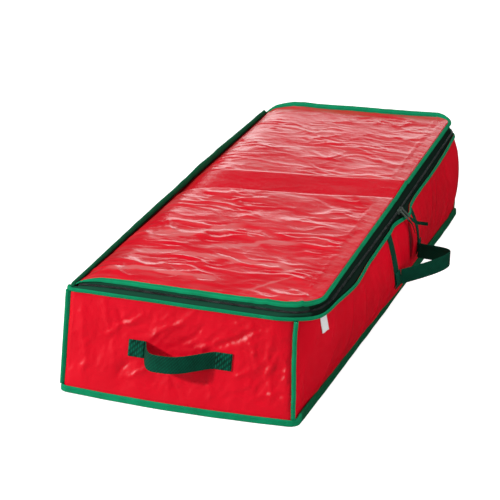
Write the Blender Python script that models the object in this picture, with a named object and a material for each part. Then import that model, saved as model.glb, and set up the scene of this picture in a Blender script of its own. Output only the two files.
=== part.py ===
"""Soft gift wrap organizer: a long zipped fabric box with webbing carry handles.

Metres, +Z up. The origin is the centre of the base on the floor. -Y is the near end,
+X is the side that the zip opens, and the lid is hinged along the -X side.
"""
import bisect
import math

import bmesh
import bpy
from mathutils import Vector

# Box over its panels
LENGTH = 1.029
WIDTH = 0.3555
RIM_HEIGHT = 0.152
PANEL_THICKNESS = 0.0012
GAP = 0.0003
BINDING_GAP = 0.0006

# How the soft walls lean in at the rim
FRONT_LEAN = 0.022
REAR_LEAN_LEFT = 0.027
REAR_LEAN_RIGHT = 0.001
SIDE_LEAN = 0.001
FRONT_FOOT_BOW = 0.011
REAR_FOOT_BOW = 0.006
FOOT_CORNER_RADIUS = 0.010
NEAR_CORNER_RADIUS = 0.045
FAR_CORNER_RADIUS = 0.032
HINGE_CORNER_RADIUS = 0.010

# How far the opening side bellies out at the foot, half way up and at the rim
FOOT_BULGE = 0.002
MID_BULGE = 0.039
RIM_BULGE = 0.029
FOOT_BULGE_SHARES = ((-0.97, 0.0), (-0.88, 0.5), (-0.60, 0.9), (-0.20, 1.0), (0.30, 1.0),
                     (0.80, 1.0), (0.97, 0.0))
MID_BULGE_SHARES = ((-0.97, 0.0), (-0.90, 0.28), (-0.80, 0.55), (-0.60, 0.85), (-0.30, 0.93),
                    (0.0, 1.0), (0.12, 0.90), (0.22, 0.72), (0.40, 0.52), (0.65, 0.42),
                    (0.87, 0.42), (0.94, 0.28), (0.99, 0.0))
RIM_BULGE_SHARES = ((-0.957, 0.0), (-0.93, 0.35), (-0.91, 0.50), (-0.87, 0.64), (-0.835, 0.72),
                    (-0.76, 0.80), (-0.68, 0.93), (-0.60, 1.0), (-0.43, 0.80), (-0.22, 0.66),
                    (-0.127, 0.60), (-0.052, 0.52), (0.025, 0.76), (0.069, 0.84), (0.11, 0.70),
                    (0.156, 0.53), (0.25, 0.40), (0.462, 0.33), (0.62, 0.22), (0.80, 0.04),
                    (0.90, -0.09), (0.96, -0.14))

# Binding tape on the seams
BOTTOM_BINDING_TALL = 0.0095
BOTTOM_BINDING_THICK = 0.0037
BOTTOM_PROFILE_SHARES = ((0.0, 0.0), (0.8, 0.0), (1.0, 0.25), (1.0, 0.75), (0.7, 1.0), (0.0, 1.0))
RIM_BINDING_DROP = 0.003
RIM_BINDING_RISE = 0.0025
RIM_BINDING_THICK = 0.0024
RIM_PROFILE_SHARES = ((0.0, 0.0), (0.75, 0.08), (1.0, 0.4), (0.9, 0.8), (0.5, 1.0), (0.0, 1.0))
RIM_CORNER_SWELL = 0.003
CORNER_BINDING_LEFT_FOOT = 0.0055
CORNER_BINDING_LEFT_WIDE = 0.007
CORNER_BINDING_RIGHT_FOOT = 0.0035
CORNER_BINDING_RIGHT_WIDE = 0.0075
CORNER_BINDING_THICK = 0.0045
CORNER_BINDING_RISE_POWER = 0.7
CORNER_BINDING_BELLY_SHARE = 0.8
CORNER_BINDING_TIP_SHARE = 0.5
LID_BINDING_WIDE = 0.009
LID_BINDING_SIDE_WIDE = 0.0065
LID_BINDING_BELLY_SHARE = 0.85
LID_BINDING_TIP_SHARE = 0.4
LID_BINDING_END_SHARE = 0.3
LID_BINDING_END_RUN = 0.022
LID_BINDING_THICK = 0.0022
LID_BINDING_ANGLE = math.radians(-50.0)
LID_BINDING_LOW_ANGLE = math.radians(38.0)
LID_BINDING_REAR_ANGLE = math.radians(72.0)
HINGE_BINDING_THICK = 0.0065
HINGE_BINDING_END = 0.0006
HINGE_BINDING_HEIGHTS = ((-0.92, 0.0055), (-0.70, 0.0075), (-0.544, 0.0085), (-0.35, 0.011),
                         (-0.155, 0.0112), (0.058, 0.0128), (0.194, 0.0145), (0.428, 0.013),
                         (0.641, 0.0112), (0.92, 0.0092))
HINGE_PROFILE_SHARES = ((0.0, 0.0), (1.0, 0.0), (1.0, 0.8), (0.75, 1.0), (0.25, 1.0), (0.0, 0.8))

# Zip
ZIP_HEIGHT = 0.009
ZIP_SLOPE = math.radians(60.0)
ZIP_END_INSET = 0.006
TRACK_NEAR_OUT = 0.01875
TRACK_MID_OUT = 0.01075
TRACK_FAR_IN = 0.00625
TRACK_NEAR_X = WIDTH / 2 + TRACK_NEAR_OUT
TRACK_MID_X = WIDTH / 2 + TRACK_MID_OUT
TRACK_FAR_X = WIDTH / 2 - TRACK_FAR_IN
TRACK_MID_Y = 0.012
TRACK_NEAR_CORNER = (0.055, 0.086, 2.5)
TRACK_FAR_CORNER = (0.038, 0.038, 2.0)
TAPE_THICKNESS = 0.0008
TAPE_SHOULDER = 0.0036
TAPE_SPLIT = 0.0012
COIL_WIDTH = 0.0026
COIL_TALL = 0.0018
COIL_PROFILE_SHARES = ((0.0, 0.0), (0.0, 0.7), (0.3, 1.0), (0.7, 1.0), (1.0, 0.7), (1.0, 0.0))
FULL_LIFT_SHARE = 0.95

# Lid
LID_END_INSET = 0.0125
LID_NEAR_OUT = 0.01325
LID_FAR_IN = 0.01325
LID_NEAR_X = WIDTH / 2 + LID_NEAR_OUT
LID_FAR_X = WIDTH / 2 - LID_FAR_IN
LID_NEAR_CORNER = (0.045, 0.045, 2.0)
LID_FAR_CORNER = (0.032, 0.032, 2.0)
LID_SIDE_TAPER = 0.004
LID_TAPER_RUN = 0.022
HINGE_LID_LIFT = 0.004
HINGE_LID_DIP = 0.0035
HINGE_DIP_RUN = 0.018
HINGE_DIP_SHARES = ((-0.97, 0.0), (-0.80, 1.0), (0.80, 1.0), (0.97, 0.0))
LID_RISE = 0.0195
LID_RISE_RUN = 0.025
LID_TILT = 0.005
POCKET_DROP = 0.0010
POCKET_THICKNESS = 0.0008
POCKET_MARGIN = 0.012
POCKET_SIDE_MARGIN = 0.026
POCKET_FRONT_END = -0.003
POCKET_REAR_START = 0.090
POCKET_HEM_WIDE = 0.010

# Webbing handles
WEBBING_WIDE = 0.025
WEBBING_THICK = 0.0016
HANDLE_HEIGHT = 0.0795
HANDLE_SPACING = 0.132
HANDLE_BOW = 0.035
HANDLE_DROOP = 0.011
HANDLE_SKEW_SHARE = 0.35
HANDLE_BOW_POWERS = (3.0, 1.4)
SIDE_HANDLE_SPACING = 0.146
SIDE_HANDLE_Y = -0.003
SIDE_HANDLE_RISE = 0.006
SIDE_HANDLE_BOW = 0.0615
SIDE_HANDLE_LIFT = 0.017
SIDE_LOOP_NEAR_POWERS = (2.1, 1.05)
SIDE_LOOP_FAR_POWERS = (1.6, 1.3)
SUPPORT_THICK = 0.0012

# Sliders and pullers
SLIDER_LENGTH = 0.011
SLIDER_HALF_WIDTH = 0.0038
SLIDER_PLATE = 0.0012
SLIDER_WEB = 0.0006
SLIDER_UNDER_GAP = 0.0005
SLIDER_UNDER_PLATE = 0.001
SLIDER_SIDE_SHARE = 0.6
SLIDER_TOP_SHARE = 0.75
PIN_SIZE = 0.001
BAIL_POST = 0.0012
PULLER_LENGTH = 0.0195
PULLER_WIDTH = 0.006
PULLER_THICK = 0.0009
PULLER_EYE = 0.001
PULLER_EYE_TURN = math.radians(315.0)
PULLER_ANGLE = math.radians(-42.0)
RIBBON_WIDE = 0.0055
RIBBON_THICK = 0.0009
NEAR_RIBBON_LENGTH = 0.024
NEAR_RIBBON_ANGLE = math.radians(-70.0)
NEAR_RIBBON_TWIST = math.radians(20.0)
FAR_RIBBON_LENGTH = 0.031
FAR_RIBBON_ANGLE = 0.0
FAR_RIBBON_TWIST = math.radians(80.0)

# Sewn-in label
LABEL_FROM_END = 0.0645
LABEL_Y = LABEL_FROM_END - LENGTH / 2
LABEL_WIDE = 0.016
LABEL_TALL = 0.026
LABEL_THICK = 0.0006
LABEL_FLARE = 0.003

# Mesh fineness
ARC_STEPS = 10
LEFT_SEAM_STEP = 3
RIGHT_SEAM_STEP = 4
END_STEPS = 8
LONG_STEP = 0.030
HINGE_STEPS = 10
HINGE_BINDING_STEPS = 24
EYE_STEPS = 10
HANDLE_STEPS = 20
RIBBON_STEPS = 6
POCKET_ROWS = 8
POCKET_COLUMN_SHARES = (0.0, 0.03, 0.07, 0.13, 0.22, 0.36, 0.6, 0.8, 1.0)


def blend(start, end, share):
    return start + (end - start) * share


def smooth_table(table, place):
    """Smooth value of a table of (place, value) pairs, held level past its ends."""
    places = [entry[0] for entry in table]
    values = [entry[1] for entry in table]
    if place <= places[0]:
        return values[0]
    if place >= places[-1]:
        return values[-1]
    k = bisect.bisect_right(places, place) - 1

    def slope(i):
        low = max(i - 1, 0)
        high = min(i + 1, len(places) - 1)
        return (values[high] - values[low]) / (places[high] - places[low])

    run = places[k + 1] - places[k]
    s = (place - places[k]) / run
    return ((2 * s**3 - 3 * s**2 + 1) * values[k] + (s**3 - 2 * s**2 + s) * run * slope(k)
            + (3 * s**2 - 2 * s**3) * values[k + 1] + (s**3 - s**2) * run * slope(k + 1))


# Plan outline of the box walls

def bulge(y, t):
    """How far the opening side bellies out at a place along it and a share of the height."""
    start = BOTTOM_BINDING_TALL / RIM_HEIGHT
    t = max(0.0, (t - start) / (1 - start))
    share = y / (LENGTH / 2)
    foot = FOOT_BULGE * smooth_table(FOOT_BULGE_SHARES, share)
    middle = MID_BULGE * smooth_table(MID_BULGE_SHARES, share)
    rim = RIM_BULGE * smooth_table(RIM_BULGE_SHARES, share)
    return foot * (1 - t) * (1 - 2 * t) + middle * 4 * t * (1 - t) + rim * t * (2 * t - 1)


def foot_bow(x, t):
    """Share of the outward bow of an end wall's foot: full in the middle, none at the rim."""
    return max(0.0, 1 - (2 * x / WIDTH) ** 2) * (1 - t) ** 2


def front_y(x, t):
    return -LENGTH / 2 + FRONT_LEAN * t - FRONT_FOOT_BOW * foot_bow(x, t)


def rear_y(x, t):
    lean = t * blend(REAR_LEAN_LEFT, REAR_LEAN_RIGHT, x / WIDTH + 0.5)
    return LENGTH / 2 - lean + REAR_FOOT_BOW * foot_bow(x, t)


def rim_front_y():
    return front_y(0.0, 1)


def half_width(t):
    return WIDTH / 2 - SIDE_LEAN * t


def corner_radii(t):
    """Plan radii of the hinge side's corners and of the opening side's near and far ones."""
    share = t ** 1.5
    return (blend(FOOT_CORNER_RADIUS, HINGE_CORNER_RADIUS, share),
            blend(FOOT_CORNER_RADIUS, NEAR_CORNER_RADIUS, share),
            blend(FOOT_CORNER_RADIUS, FAR_CORNER_RADIUS, share))


def arc_angles(start):
    return [start + math.pi / 2 * k / ARC_STEPS for k in range(ARC_STEPS + 1)]


def handle_edges():
    """Y places of the edges of the two upright straps on the opening side."""
    half = SIDE_HANDLE_SPACING / 2
    web = WEBBING_WIDE / 2
    return [SIDE_HANDLE_Y - half - web, SIDE_HANDLE_Y - half, SIDE_HANDLE_Y - half + web,
            SIDE_HANDLE_Y + half - web, SIDE_HANDLE_Y + half, SIDE_HANDLE_Y + half + web]


def side_range():
    """Y range of the rim between its two round corners on the opening side."""
    start = rim_front_y() + NEAR_CORNER_RADIUS
    end = rear_y(half_width(1), 1) - FAR_CORNER_RADIUS
    return start, end


def side_shares():
    """Stations along the opening side, as shares, with one at each strap edge."""
    start, end = side_range()
    anchors = [start] + handle_edges() + [end]
    stations = [start]
    for low, high in zip(anchors, anchors[1:]):
        count = max(1, math.ceil((high - low) / LONG_STEP - GAP))
        stations += [blend(low, high, (k + 1) / count) for k in range(count)]
    return [(y - start) / (end - start) for y in stations]


SIDE_SHARES = side_shares()
END_SHARES = [(k / END_STEPS) ** 1.5 for k in range(END_STEPS + 1)]


def outline(height):
    """Counterclockwise plan outline of the walls' outer faces at a height."""
    t = min(max(height / RIM_HEIGHT, 0.0), 1.0)
    left_radius, near_radius, far_radius = corner_radii(t)
    half = half_width(t)
    points = []
    for angle in arc_angles(math.pi):
        x = -half + left_radius + left_radius * math.cos(angle)
        points.append((x, front_y(x, t) + left_radius + left_radius * math.sin(angle)))
    for share in END_SHARES[1:-1]:
        x = blend(left_radius - half, half - near_radius, share)
        points.append((x, front_y(x, t)))
    for angle in arc_angles(1.5 * math.pi):
        x = half - near_radius + near_radius * math.cos(angle)
        y = front_y(x, t) + near_radius + near_radius * math.sin(angle)
        points.append((x + bulge(y, t), y))
    start_y = front_y(half, t) + near_radius
    end_y = rear_y(half, t) - far_radius
    for share in SIDE_SHARES[1:-1]:
        y = blend(start_y, end_y, share)
        points.append((half + bulge(y, t), y))
    for angle in arc_angles(0.0):
        x = half - far_radius + far_radius * math.cos(angle)
        y = rear_y(x, t) - far_radius + far_radius * math.sin(angle)
        points.append((x + bulge(y, t), y))
    for share in END_SHARES[-2:0:-1]:
        x = blend(left_radius - half, half - far_radius, share)
        points.append((x, rear_y(x, t)))
    for angle in arc_angles(math.pi / 2):
        x = -half + left_radius + left_radius * math.cos(angle)
        y = rear_y(x, t) - left_radius + left_radius * math.sin(angle)
        points.append((x, y))
    top = points[-1][1]
    bottom = points[0][1]
    for k in range(1, HINGE_STEPS):
        points.append((-half, blend(top, bottom, k / HINGE_STEPS)))
    return [Vector(point) for point in points]


RIM_COUNT = 4 * (ARC_STEPS + 1) + 2 * (END_STEPS - 1) + len(SIDE_SHARES) - 2
NEAR_ARC = ARC_STEPS + END_STEPS
FAR_ARC = NEAR_ARC + ARC_STEPS + len(SIDE_SHARES) - 1
FRONT_LEFT_SEAM = LEFT_SEAM_STEP
FRONT_RIGHT_SEAM = NEAR_ARC + RIGHT_SEAM_STEP
REAR_RIGHT_SEAM = FAR_ARC + ARC_STEPS - RIGHT_SEAM_STEP
REAR_LEFT_SEAM = RIM_COUNT - 1 - LEFT_SEAM_STEP


def plan_normals(points):
    """Outward plan normals of a closed counterclockwise outline."""
    normals = []
    count = len(points)
    for k in range(count):
        step = points[(k + 1) % count] - points[k - 1]
        normals.append(Vector((step.y, -step.x)).normalized())
    return normals


def offset_outline(height, distance):
    points = outline(height)
    return [p + n * distance for p, n in zip(points, plan_normals(points))]


def raised(point, z):
    return Vector((point.x, point.y, z))


# Solids

def close_mesh(bm):
    bmesh.ops.recalc_face_normals(bm, faces=bm.faces[:])
    return bm


def sheet_solid(outer, inner):
    """Closed sheet between two grids of points of the same size."""
    bm = bmesh.new()
    rows = len(outer)
    columns = len(outer[0])
    top = [[bm.verts.new(p) for p in row] for row in outer]
    low = [[bm.verts.new(p) for p in row] for row in inner]
    for i in range(rows - 1):
        for j in range(columns - 1):
            bm.faces.new((top[i][j], top[i][j + 1], top[i + 1][j + 1], top[i + 1][j]))
            bm.faces.new((low[i][j], low[i + 1][j], low[i + 1][j + 1], low[i][j + 1]))
    for j in range(columns - 1):
        for i in (0, rows - 1):
            bm.faces.new((top[i][j], low[i][j], low[i][j + 1], top[i][j + 1]))
    for i in range(rows - 1):
        for j in (0, columns - 1):
            bm.faces.new((top[i][j], top[i + 1][j], low[i + 1][j], low[i][j]))
    return close_mesh(bm)


def swept_solid(sections, closed=False):
    """Closed solid through a run of sections that have the same number of points."""
    bm = bmesh.new()
    rings = [[bm.verts.new(p) for p in section] for section in sections]
    count = len(rings[0])
    pairs = list(zip(rings, rings[1:]))
    if closed:
        pairs.append((rings[-1], rings[0]))
    for first, second in pairs:
        for k in range(count):
            following = (k + 1) % count
            bm.faces.new((first[k], first[following], second[following], second[k]))
    if not closed:
        bm.faces.new(rings[0])
        bm.faces.new(rings[-1])
    return close_mesh(bm)


def prism_solid(profile, along):
    """Prism of a 3-D profile moved along a vector."""
    return swept_solid([profile, [p + along for p in profile]])


MATERIALS = {
    "red_tarp": ((0.62, 0.006, 0.02), 0.35),
    "green_binding": ((0.0, 0.20, 0.10), 0.6),
    "zip_tape_green": ((0.004, 0.04, 0.025), 0.8),
    "zip_coil_black": ((0.012, 0.012, 0.014), 0.5),
    "green_webbing": ((0.0, 0.05, 0.03), 0.75),
    "clear_vinyl": ((0.75, 0.35, 0.35), 0.25),
    "white_label": ((0.85, 0.85, 0.85), 0.7),
    "dark_metal": ((0.06, 0.08, 0.07), 0.4),
}


def make_material(name, kind):
    colour, roughness = MATERIALS[kind]
    material = bpy.data.materials.new(name + "_" + kind)
    material.use_nodes = True
    shader = material.node_tree.nodes["Principled BSDF"]
    shader.inputs["Base Color"].default_value = (*colour, 1.0)
    shader.inputs["Roughness"].default_value = roughness
    shader.inputs["Metallic"].default_value = 1.0 if kind == "dark_metal" else 0.0
    material.diffuse_color = (*colour, 1.0)
    return material


def add_axis(name, place, parent=None):
    """Empty on a joint axis, which carries the pieces that move about it."""
    axis = bpy.data.objects.new(name, None)
    bpy.context.scene.collection.objects.link(axis)
    axis.parent = parent
    axis.location = place - (world_place(parent) if parent else Vector())
    return axis


def world_place(item):
    place = item.location.copy()
    while item.parent:
        item = item.parent
        place += item.location
    return place


def add_piece(name, bm, kind, parent=None):
    """Object with its origin on its parent's axis, or at the frame's origin."""
    origin = world_place(parent) if parent else Vector()
    bmesh.ops.triangulate(bm, faces=bm.faces[:], quad_method="FIXED")
    bmesh.ops.translate(bm, verts=bm.verts[:], vec=-origin)
    mesh = bpy.data.meshes.new(name)
    bm.to_mesh(mesh)
    bm.free()
    piece = bpy.data.objects.new(name, mesh)
    piece.data.materials.append(make_material(name, kind))
    bpy.context.scene.collection.objects.link(piece)
    piece.parent = parent
    return piece


# Walls and base

def wall_rows():
    """Heights of the walls' mesh rows, with one at each binding's and handle's edge."""
    low = BOTTOM_BINDING_TALL
    high = RIM_HEIGHT - RIM_BINDING_DROP
    handle_low = HANDLE_HEIGHT - WEBBING_WIDE / 2
    handle_high = HANDLE_HEIGHT + WEBBING_WIDE / 2
    rows = [PANEL_THICKNESS + GAP, low]
    rows += [blend(low, handle_low, k / 3) for k in (1, 2)]
    rows += [handle_low, HANDLE_HEIGHT, handle_high]
    rows += [blend(handle_high, high, k / 3) for k in (1, 2)]
    rows += [high, RIM_HEIGHT]
    return rows


def wall_indices(start, end):
    total = len(outline(0.0))
    if end < start:
        end += total
    return [k % total for k in range(start, end + 1)]


def set_back(row):
    """Draw the ends of a row in by half the gap that neighbouring walls keep."""
    for end, inner in ((0, 1), (-1, -2)):
        step = (row[inner] - row[end]).normalized()
        row[end] = row[end] + step * GAP / 2
    return row


def wall_solid(start, end):
    indices = wall_indices(start, end)
    outer = []
    inner = []
    for height in wall_rows():
        face = offset_outline(height, 0.0)
        back = offset_outline(height, -PANEL_THICKNESS)
        outer.append(set_back([raised(face[k], height) for k in indices]))
        inner.append(set_back([raised(back[k], height) for k in indices]))
    return sheet_solid(outer, inner)


def make_walls():
    add_piece("front_end_panel", wall_solid(FRONT_LEFT_SEAM, FRONT_RIGHT_SEAM), "red_tarp")
    add_piece("right_side_panel", wall_solid(FRONT_RIGHT_SEAM, REAR_RIGHT_SEAM), "red_tarp")
    add_piece("rear_end_panel", wall_solid(REAR_RIGHT_SEAM, REAR_LEFT_SEAM), "red_tarp")
    add_piece("left_side_panel", wall_solid(REAR_LEFT_SEAM, FRONT_LEFT_SEAM), "red_tarp")


def make_base():
    low = [raised(p, 0.0) for p in outline(0.0)]
    high = [raised(p, PANEL_THICKNESS) for p in outline(PANEL_THICKNESS)]
    add_piece("bottom_panel", swept_solid([low, high]), "red_tarp")


# Bindings on the body

def profile_sections(profile, indices):
    """Sections of a binding whose profile is a list of (distance out, height)."""
    rings = [offset_outline(height, distance) for distance, height in profile]
    return [[raised(ring[k], height) for ring, (_, height) in zip(rings, profile)]
            for k in indices]


def make_bottom_binding():
    """Tape round the base in four runs that meet under the corner seams."""
    profile = [(BINDING_GAP + BOTTOM_BINDING_THICK * out, BOTTOM_BINDING_TALL * up)
               for out, up in BOTTOM_PROFILE_SHARES]
    profile.append((BINDING_GAP, PANEL_THICKNESS + GAP))
    runs = (("front", FRONT_LEFT_SEAM, FRONT_RIGHT_SEAM),
            ("right", FRONT_RIGHT_SEAM, REAR_RIGHT_SEAM),
            ("rear", REAR_RIGHT_SEAM, REAR_LEFT_SEAM),
            ("left", REAR_LEFT_SEAM, FRONT_LEFT_SEAM))
    for name, start, end in runs:
        sections = profile_sections(profile, wall_indices(start, end))
        lines = [set_back(list(line)) for line in zip(*sections)]
        add_piece("bottom_binding_" + name, swept_solid(list(zip(*lines))), "green_binding")


def corner_swell(k):
    """How much thicker the rim's binding is where it folds round a hinge-side corner."""
    away = min(k, RIM_COUNT - 1 - k) - LEFT_SEAM_STEP
    return RIM_CORNER_SWELL * max(0.0, 1 - (away / ARC_STEPS) ** 2)


def make_rim_binding():
    low = RIM_HEIGHT - RIM_BINDING_DROP
    high = RIM_HEIGHT + RIM_BINDING_RISE
    sections = []
    for k in range(RIM_COUNT):
        thick = RIM_BINDING_THICK + corner_swell(k)
        profile = [(BINDING_GAP + thick * out, blend(low, high, up))
                   for out, up in RIM_PROFILE_SHARES]
        profile.append((BINDING_GAP, RIM_HEIGHT))
        sections += profile_sections(profile, [k])
    add_piece("rim_binding", swept_solid(sections), "green_binding")


def corner_binding(name, index, narrow, full):
    """Folded seam that stands out diagonally from a corner, wider towards the rim."""
    low = BOTTOM_BINDING_TALL + GAP
    high = RIM_HEIGHT - RIM_BINDING_DROP - GAP
    rows = [low] + wall_rows()[2:-2] + [high]
    sections = []
    for height in rows:
        points = outline(height)
        normal = plan_normals(points)[index]
        across = Vector((-normal.y, normal.x))
        foot = points[index] + normal * BINDING_GAP
        half = across * CORNER_BINDING_THICK / 2
        share = (height / RIM_HEIGHT) ** CORNER_BINDING_RISE_POWER
        wide = blend(narrow, full, share)
        belly = foot + normal * wide * CORNER_BINDING_BELLY_SHARE
        tip = foot + normal * wide
        slim = half * CORNER_BINDING_TIP_SHARE
        ring = [foot - half, belly - half, tip - slim, tip + slim, belly + half, foot + half]
        sections.append([raised(p, height) for p in ring])
    add_piece(name, swept_solid(sections), "green_binding")


def make_corner_bindings():
    left = (CORNER_BINDING_LEFT_FOOT, CORNER_BINDING_LEFT_WIDE)
    right = (CORNER_BINDING_RIGHT_FOOT, CORNER_BINDING_RIGHT_WIDE)
    seams = (("front_left", FRONT_LEFT_SEAM, left), ("front_right", FRONT_RIGHT_SEAM, right),
             ("rear_right", REAR_RIGHT_SEAM, right), ("rear_left", REAR_LEFT_SEAM, left))
    for name, index, (narrow, full) in seams:
        corner_binding("corner_binding_" + name, index, narrow, full)


# Lid surface and zip curves

HINGE_AXIS = Vector((-half_width(1) - 4 * GAP, 0.0, RIM_HEIGHT + GAP))
LID_LEFT = HINGE_AXIS.x + HINGE_BINDING_THICK + GAP


def lid_height(x, y):
    """Top of the lid: low at the hinge, held up by the zip tape elsewhere."""
    across = (x - LID_LEFT) / WIDTH
    along = y / LENGTH + 0.5
    rise = LID_RISE * (1 - math.exp(-(x - LID_LEFT) / LID_RISE_RUN))
    dip = HINGE_LID_DIP * smooth_table(HINGE_DIP_SHARES, y / (LENGTH / 2))
    dip *= math.exp(-(x - LID_LEFT) / HINGE_DIP_RUN)
    return RIM_HEIGHT + HINGE_LID_LIFT + rise - dip + LID_TILT * across * along


def track_ends():
    """Places along Y where the coil's two straight runs meet its corners."""
    start = rim_front_y() + ZIP_END_INSET + TRACK_NEAR_CORNER[1]
    end = rear_y(TRACK_FAR_X, 1) - ZIP_END_INSET - TRACK_FAR_CORNER[1]
    return start, end


def track_x(y):
    """X of the zip's coil along the opening side: two straight runs that meet."""
    start, end = track_ends()
    if y < TRACK_MID_Y:
        return blend(TRACK_NEAR_X, TRACK_MID_X, (y - start) / (TRACK_MID_Y - start))
    return blend(TRACK_MID_X, TRACK_FAR_X, (y - TRACK_MID_Y) / (end - TRACK_MID_Y))


def lid_side_x(y):
    """X of the lid's edge along the opening side."""
    start = rim_front_y() + LID_END_INSET + LID_NEAR_CORNER[1]
    end = rear_y(LID_FAR_X, 1) - LID_END_INSET - LID_FAR_CORNER[1]
    return blend(LID_NEAR_X, LID_FAR_X, (y - start) / (end - start))


def end_taper(x):
    """How far the lid's ends draw in towards the hinge."""
    return LID_SIDE_TAPER * math.exp(-(x - LID_LEFT) / LID_TAPER_RUN)


def corner_arc(start, corner):
    """Offsets from the corner's centre, stepped like the rim's own corner."""
    reach_x, reach_y, power = corner
    offsets = []
    for angle in arc_angles(start):
        c = math.cos(angle)
        s = math.sin(angle)
        offsets.append(Vector((math.copysign(reach_x * abs(c) ** (2 / power), c),
                               math.copysign(reach_y * abs(s) ** (2 / power), s))))
    return offsets


def end_stations(end_x):
    """X places along an end, spread like the rim's, from the hinge to a corner's start."""
    rim = [p.x for p in outline(RIM_HEIGHT)[:ARC_STEPS + END_STEPS + 1]]
    start_x = LID_LEFT + HINGE_BINDING_THICK
    return [blend(start_x, end_x, (x - rim[0]) / (rim[-1] - rim[0])) for x in rim[:-1]]


def zip_curve(inset, side_x, near_corner, far_corner):
    """Plan curve round the three zipped edges, inside the rim, station by station."""
    low = rim_front_y() + inset + near_corner[1]
    near_x = side_x(low)
    high = LENGTH / 2 - inset - far_corner[1] - REAR_LEAN_RIGHT
    far_x = side_x(high)
    points = []
    for x in end_stations(near_x - near_corner[0]):
        points.append(Vector((x, rim_front_y() + inset + end_taper(x))))
    for offset in corner_arc(1.5 * math.pi, near_corner):
        points.append(Vector((near_x - near_corner[0], low)) + offset)
    high = rear_y(far_x, 1) - inset - far_corner[1]
    for share in SIDE_SHARES[1:-1]:
        y = blend(low, high, share)
        points.append(Vector((side_x(y), y)))
    for offset in corner_arc(0.0, far_corner):
        x = far_x - far_corner[0] + offset.x
        points.append(Vector((x, rear_y(x, 1) - inset - far_corner[1] + offset.y)))
    for x in reversed(end_stations(far_x - far_corner[0])):
        points.append(Vector((x, rear_y(x, 1) - inset - end_taper(x))))
    return points


def open_normals(points):
    """Outward plan normals of an open curve that runs counterclockwise."""
    normals = []
    for k in range(len(points)):
        step = points[min(k + 1, len(points) - 1)] - points[max(k - 1, 0)]
        normals.append(Vector((step.y, -step.x)).normalized())
    return normals


def lid_curve():
    return zip_curve(LID_END_INSET, lid_side_x, LID_NEAR_CORNER, LID_FAR_CORNER)


def lift_share(point):
    """How far the lid stands up off the rim at a point, as a share of its most."""
    full = HINGE_LID_LIFT + LID_RISE
    return min(1.0, (lid_height(point.x, point.y) - RIM_HEIGHT) / full)


def zip_line():
    """Stations of the coil: place, outward direction, and directions up and off the tape."""
    points = zip_curve(ZIP_END_INSET, track_x, TRACK_NEAR_CORNER, TRACK_FAR_CORNER)
    stations = []
    for point, edge, out in zip(points, lid_curve(), open_normals(points)):
        share = lift_share(edge)
        slope = ZIP_SLOPE * share
        if share > FULL_LIFT_SHARE:
            slope = ZIP_SLOPE
            share = 1.0
        place = raised(point, RIM_HEIGHT + ZIP_HEIGHT * share)
        out = raised(out, 0.0)
        up = Vector((0.0, 0.0, 1.0))
        rising = up * math.sin(slope) - out * math.cos(slope)
        off = up * math.cos(slope) + out * math.sin(slope)
        stations.append((place, out, rising, off))
    return stations


def tape_solid(edges, shoulders, far):
    """Zip tape through three runs of points, thickened off its inner face."""
    inner = []
    outer = []
    offs = [station[3] for station in zip_line()]
    for run in (edges, shoulders, far):
        inner.append(run)
        outer.append([p + off * TAPE_THICKNESS for p, off in zip(run, offs)])
    return sheet_solid(outer, inner)


def make_body_zip():
    stations = zip_line()
    rim = offset_outline(RIM_HEIGHT, -4 * GAP)
    edges = [place - rising * TAPE_SPLIT / 2 for place, _, rising, _ in stations]
    shoulders = [place - rising * TAPE_SHOULDER for place, _, rising, _ in stations]
    foot = [raised(rim[k], RIM_HEIGHT + GAP) for k in range(RIM_COUNT)]
    add_piece("body_zip_tape", tape_solid(edges, shoulders, foot), "zip_tape_green")
    add_piece("body_zip_coil", coil_solid(-1.0), "zip_coil_black")


def coil_solid(side):
    """Half of the zip's coil, on the tape of the lid (1) or of the body (-1)."""
    sections = []
    low = TAPE_THICKNESS + GAP
    for place, _, rising, off in zip_line():
        near = rising * side * TAPE_SPLIT / 2
        far = near + rising * side * COIL_WIDTH
        sections.append([place + blend(near, far, across) + off * (low + COIL_TALL * up)
                         for across, up in COIL_PROFILE_SHARES])
    return swept_solid(sections)


def make_lid_zip(lid_axis):
    stations = zip_line()
    lid = lid_curve()
    outs = open_normals(lid)
    edges = [place + rising * TAPE_SPLIT / 2 for place, _, rising, _ in stations]
    shoulders = [place + rising * TAPE_SHOULDER for place, _, rising, _ in stations]
    top = []
    for point, out in zip(lid, outs):
        place = point - out * (TAPE_THICKNESS + GAP)
        drop = PANEL_THICKNESS + TAPE_THICKNESS + GAP
        top.append(raised(place, lid_height(point.x, point.y) - drop))
    add_piece("lid_zip_tape", tape_solid(edges, shoulders, top), "zip_tape_green", lid_axis)
    add_piece("lid_zip_coil", coil_solid(1.0), "zip_coil_black", lid_axis)


# Lid

def lid_rows():
    """Grid of lid points, row by row along it, each from the hinge to the zipped side."""
    lid = lid_curve()
    corner = ARC_STEPS + END_STEPS + ARC_STEPS // 2
    near = lid[:corner + 1]
    far = lid[::-1][:corner + 1]
    side = lid[corner:len(lid) - corner]
    rows = []
    for j, edge in enumerate(side):
        share = j / (len(side) - 1)
        row = [Vector((LID_LEFT, blend(near[0].y, far[0].y, share)))]
        for k in range(corner):
            row.append(boundary_point(near[k], far[k], near[-1], far[-1], edge, share))
        row.append(edge)
        rows.append(row)
    return rows


def boundary_point(near, far, near_corner, far_corner, edge, share):
    """Point between the lid's two ends that follows the shape of its zipped side."""
    base = near.lerp(far, share)
    corner = near_corner.lerp(far_corner, share)
    span = corner.x - LID_LEFT
    weight = (base.x - LID_LEFT) / span
    return base + (edge - corner) * weight ** 3


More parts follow.
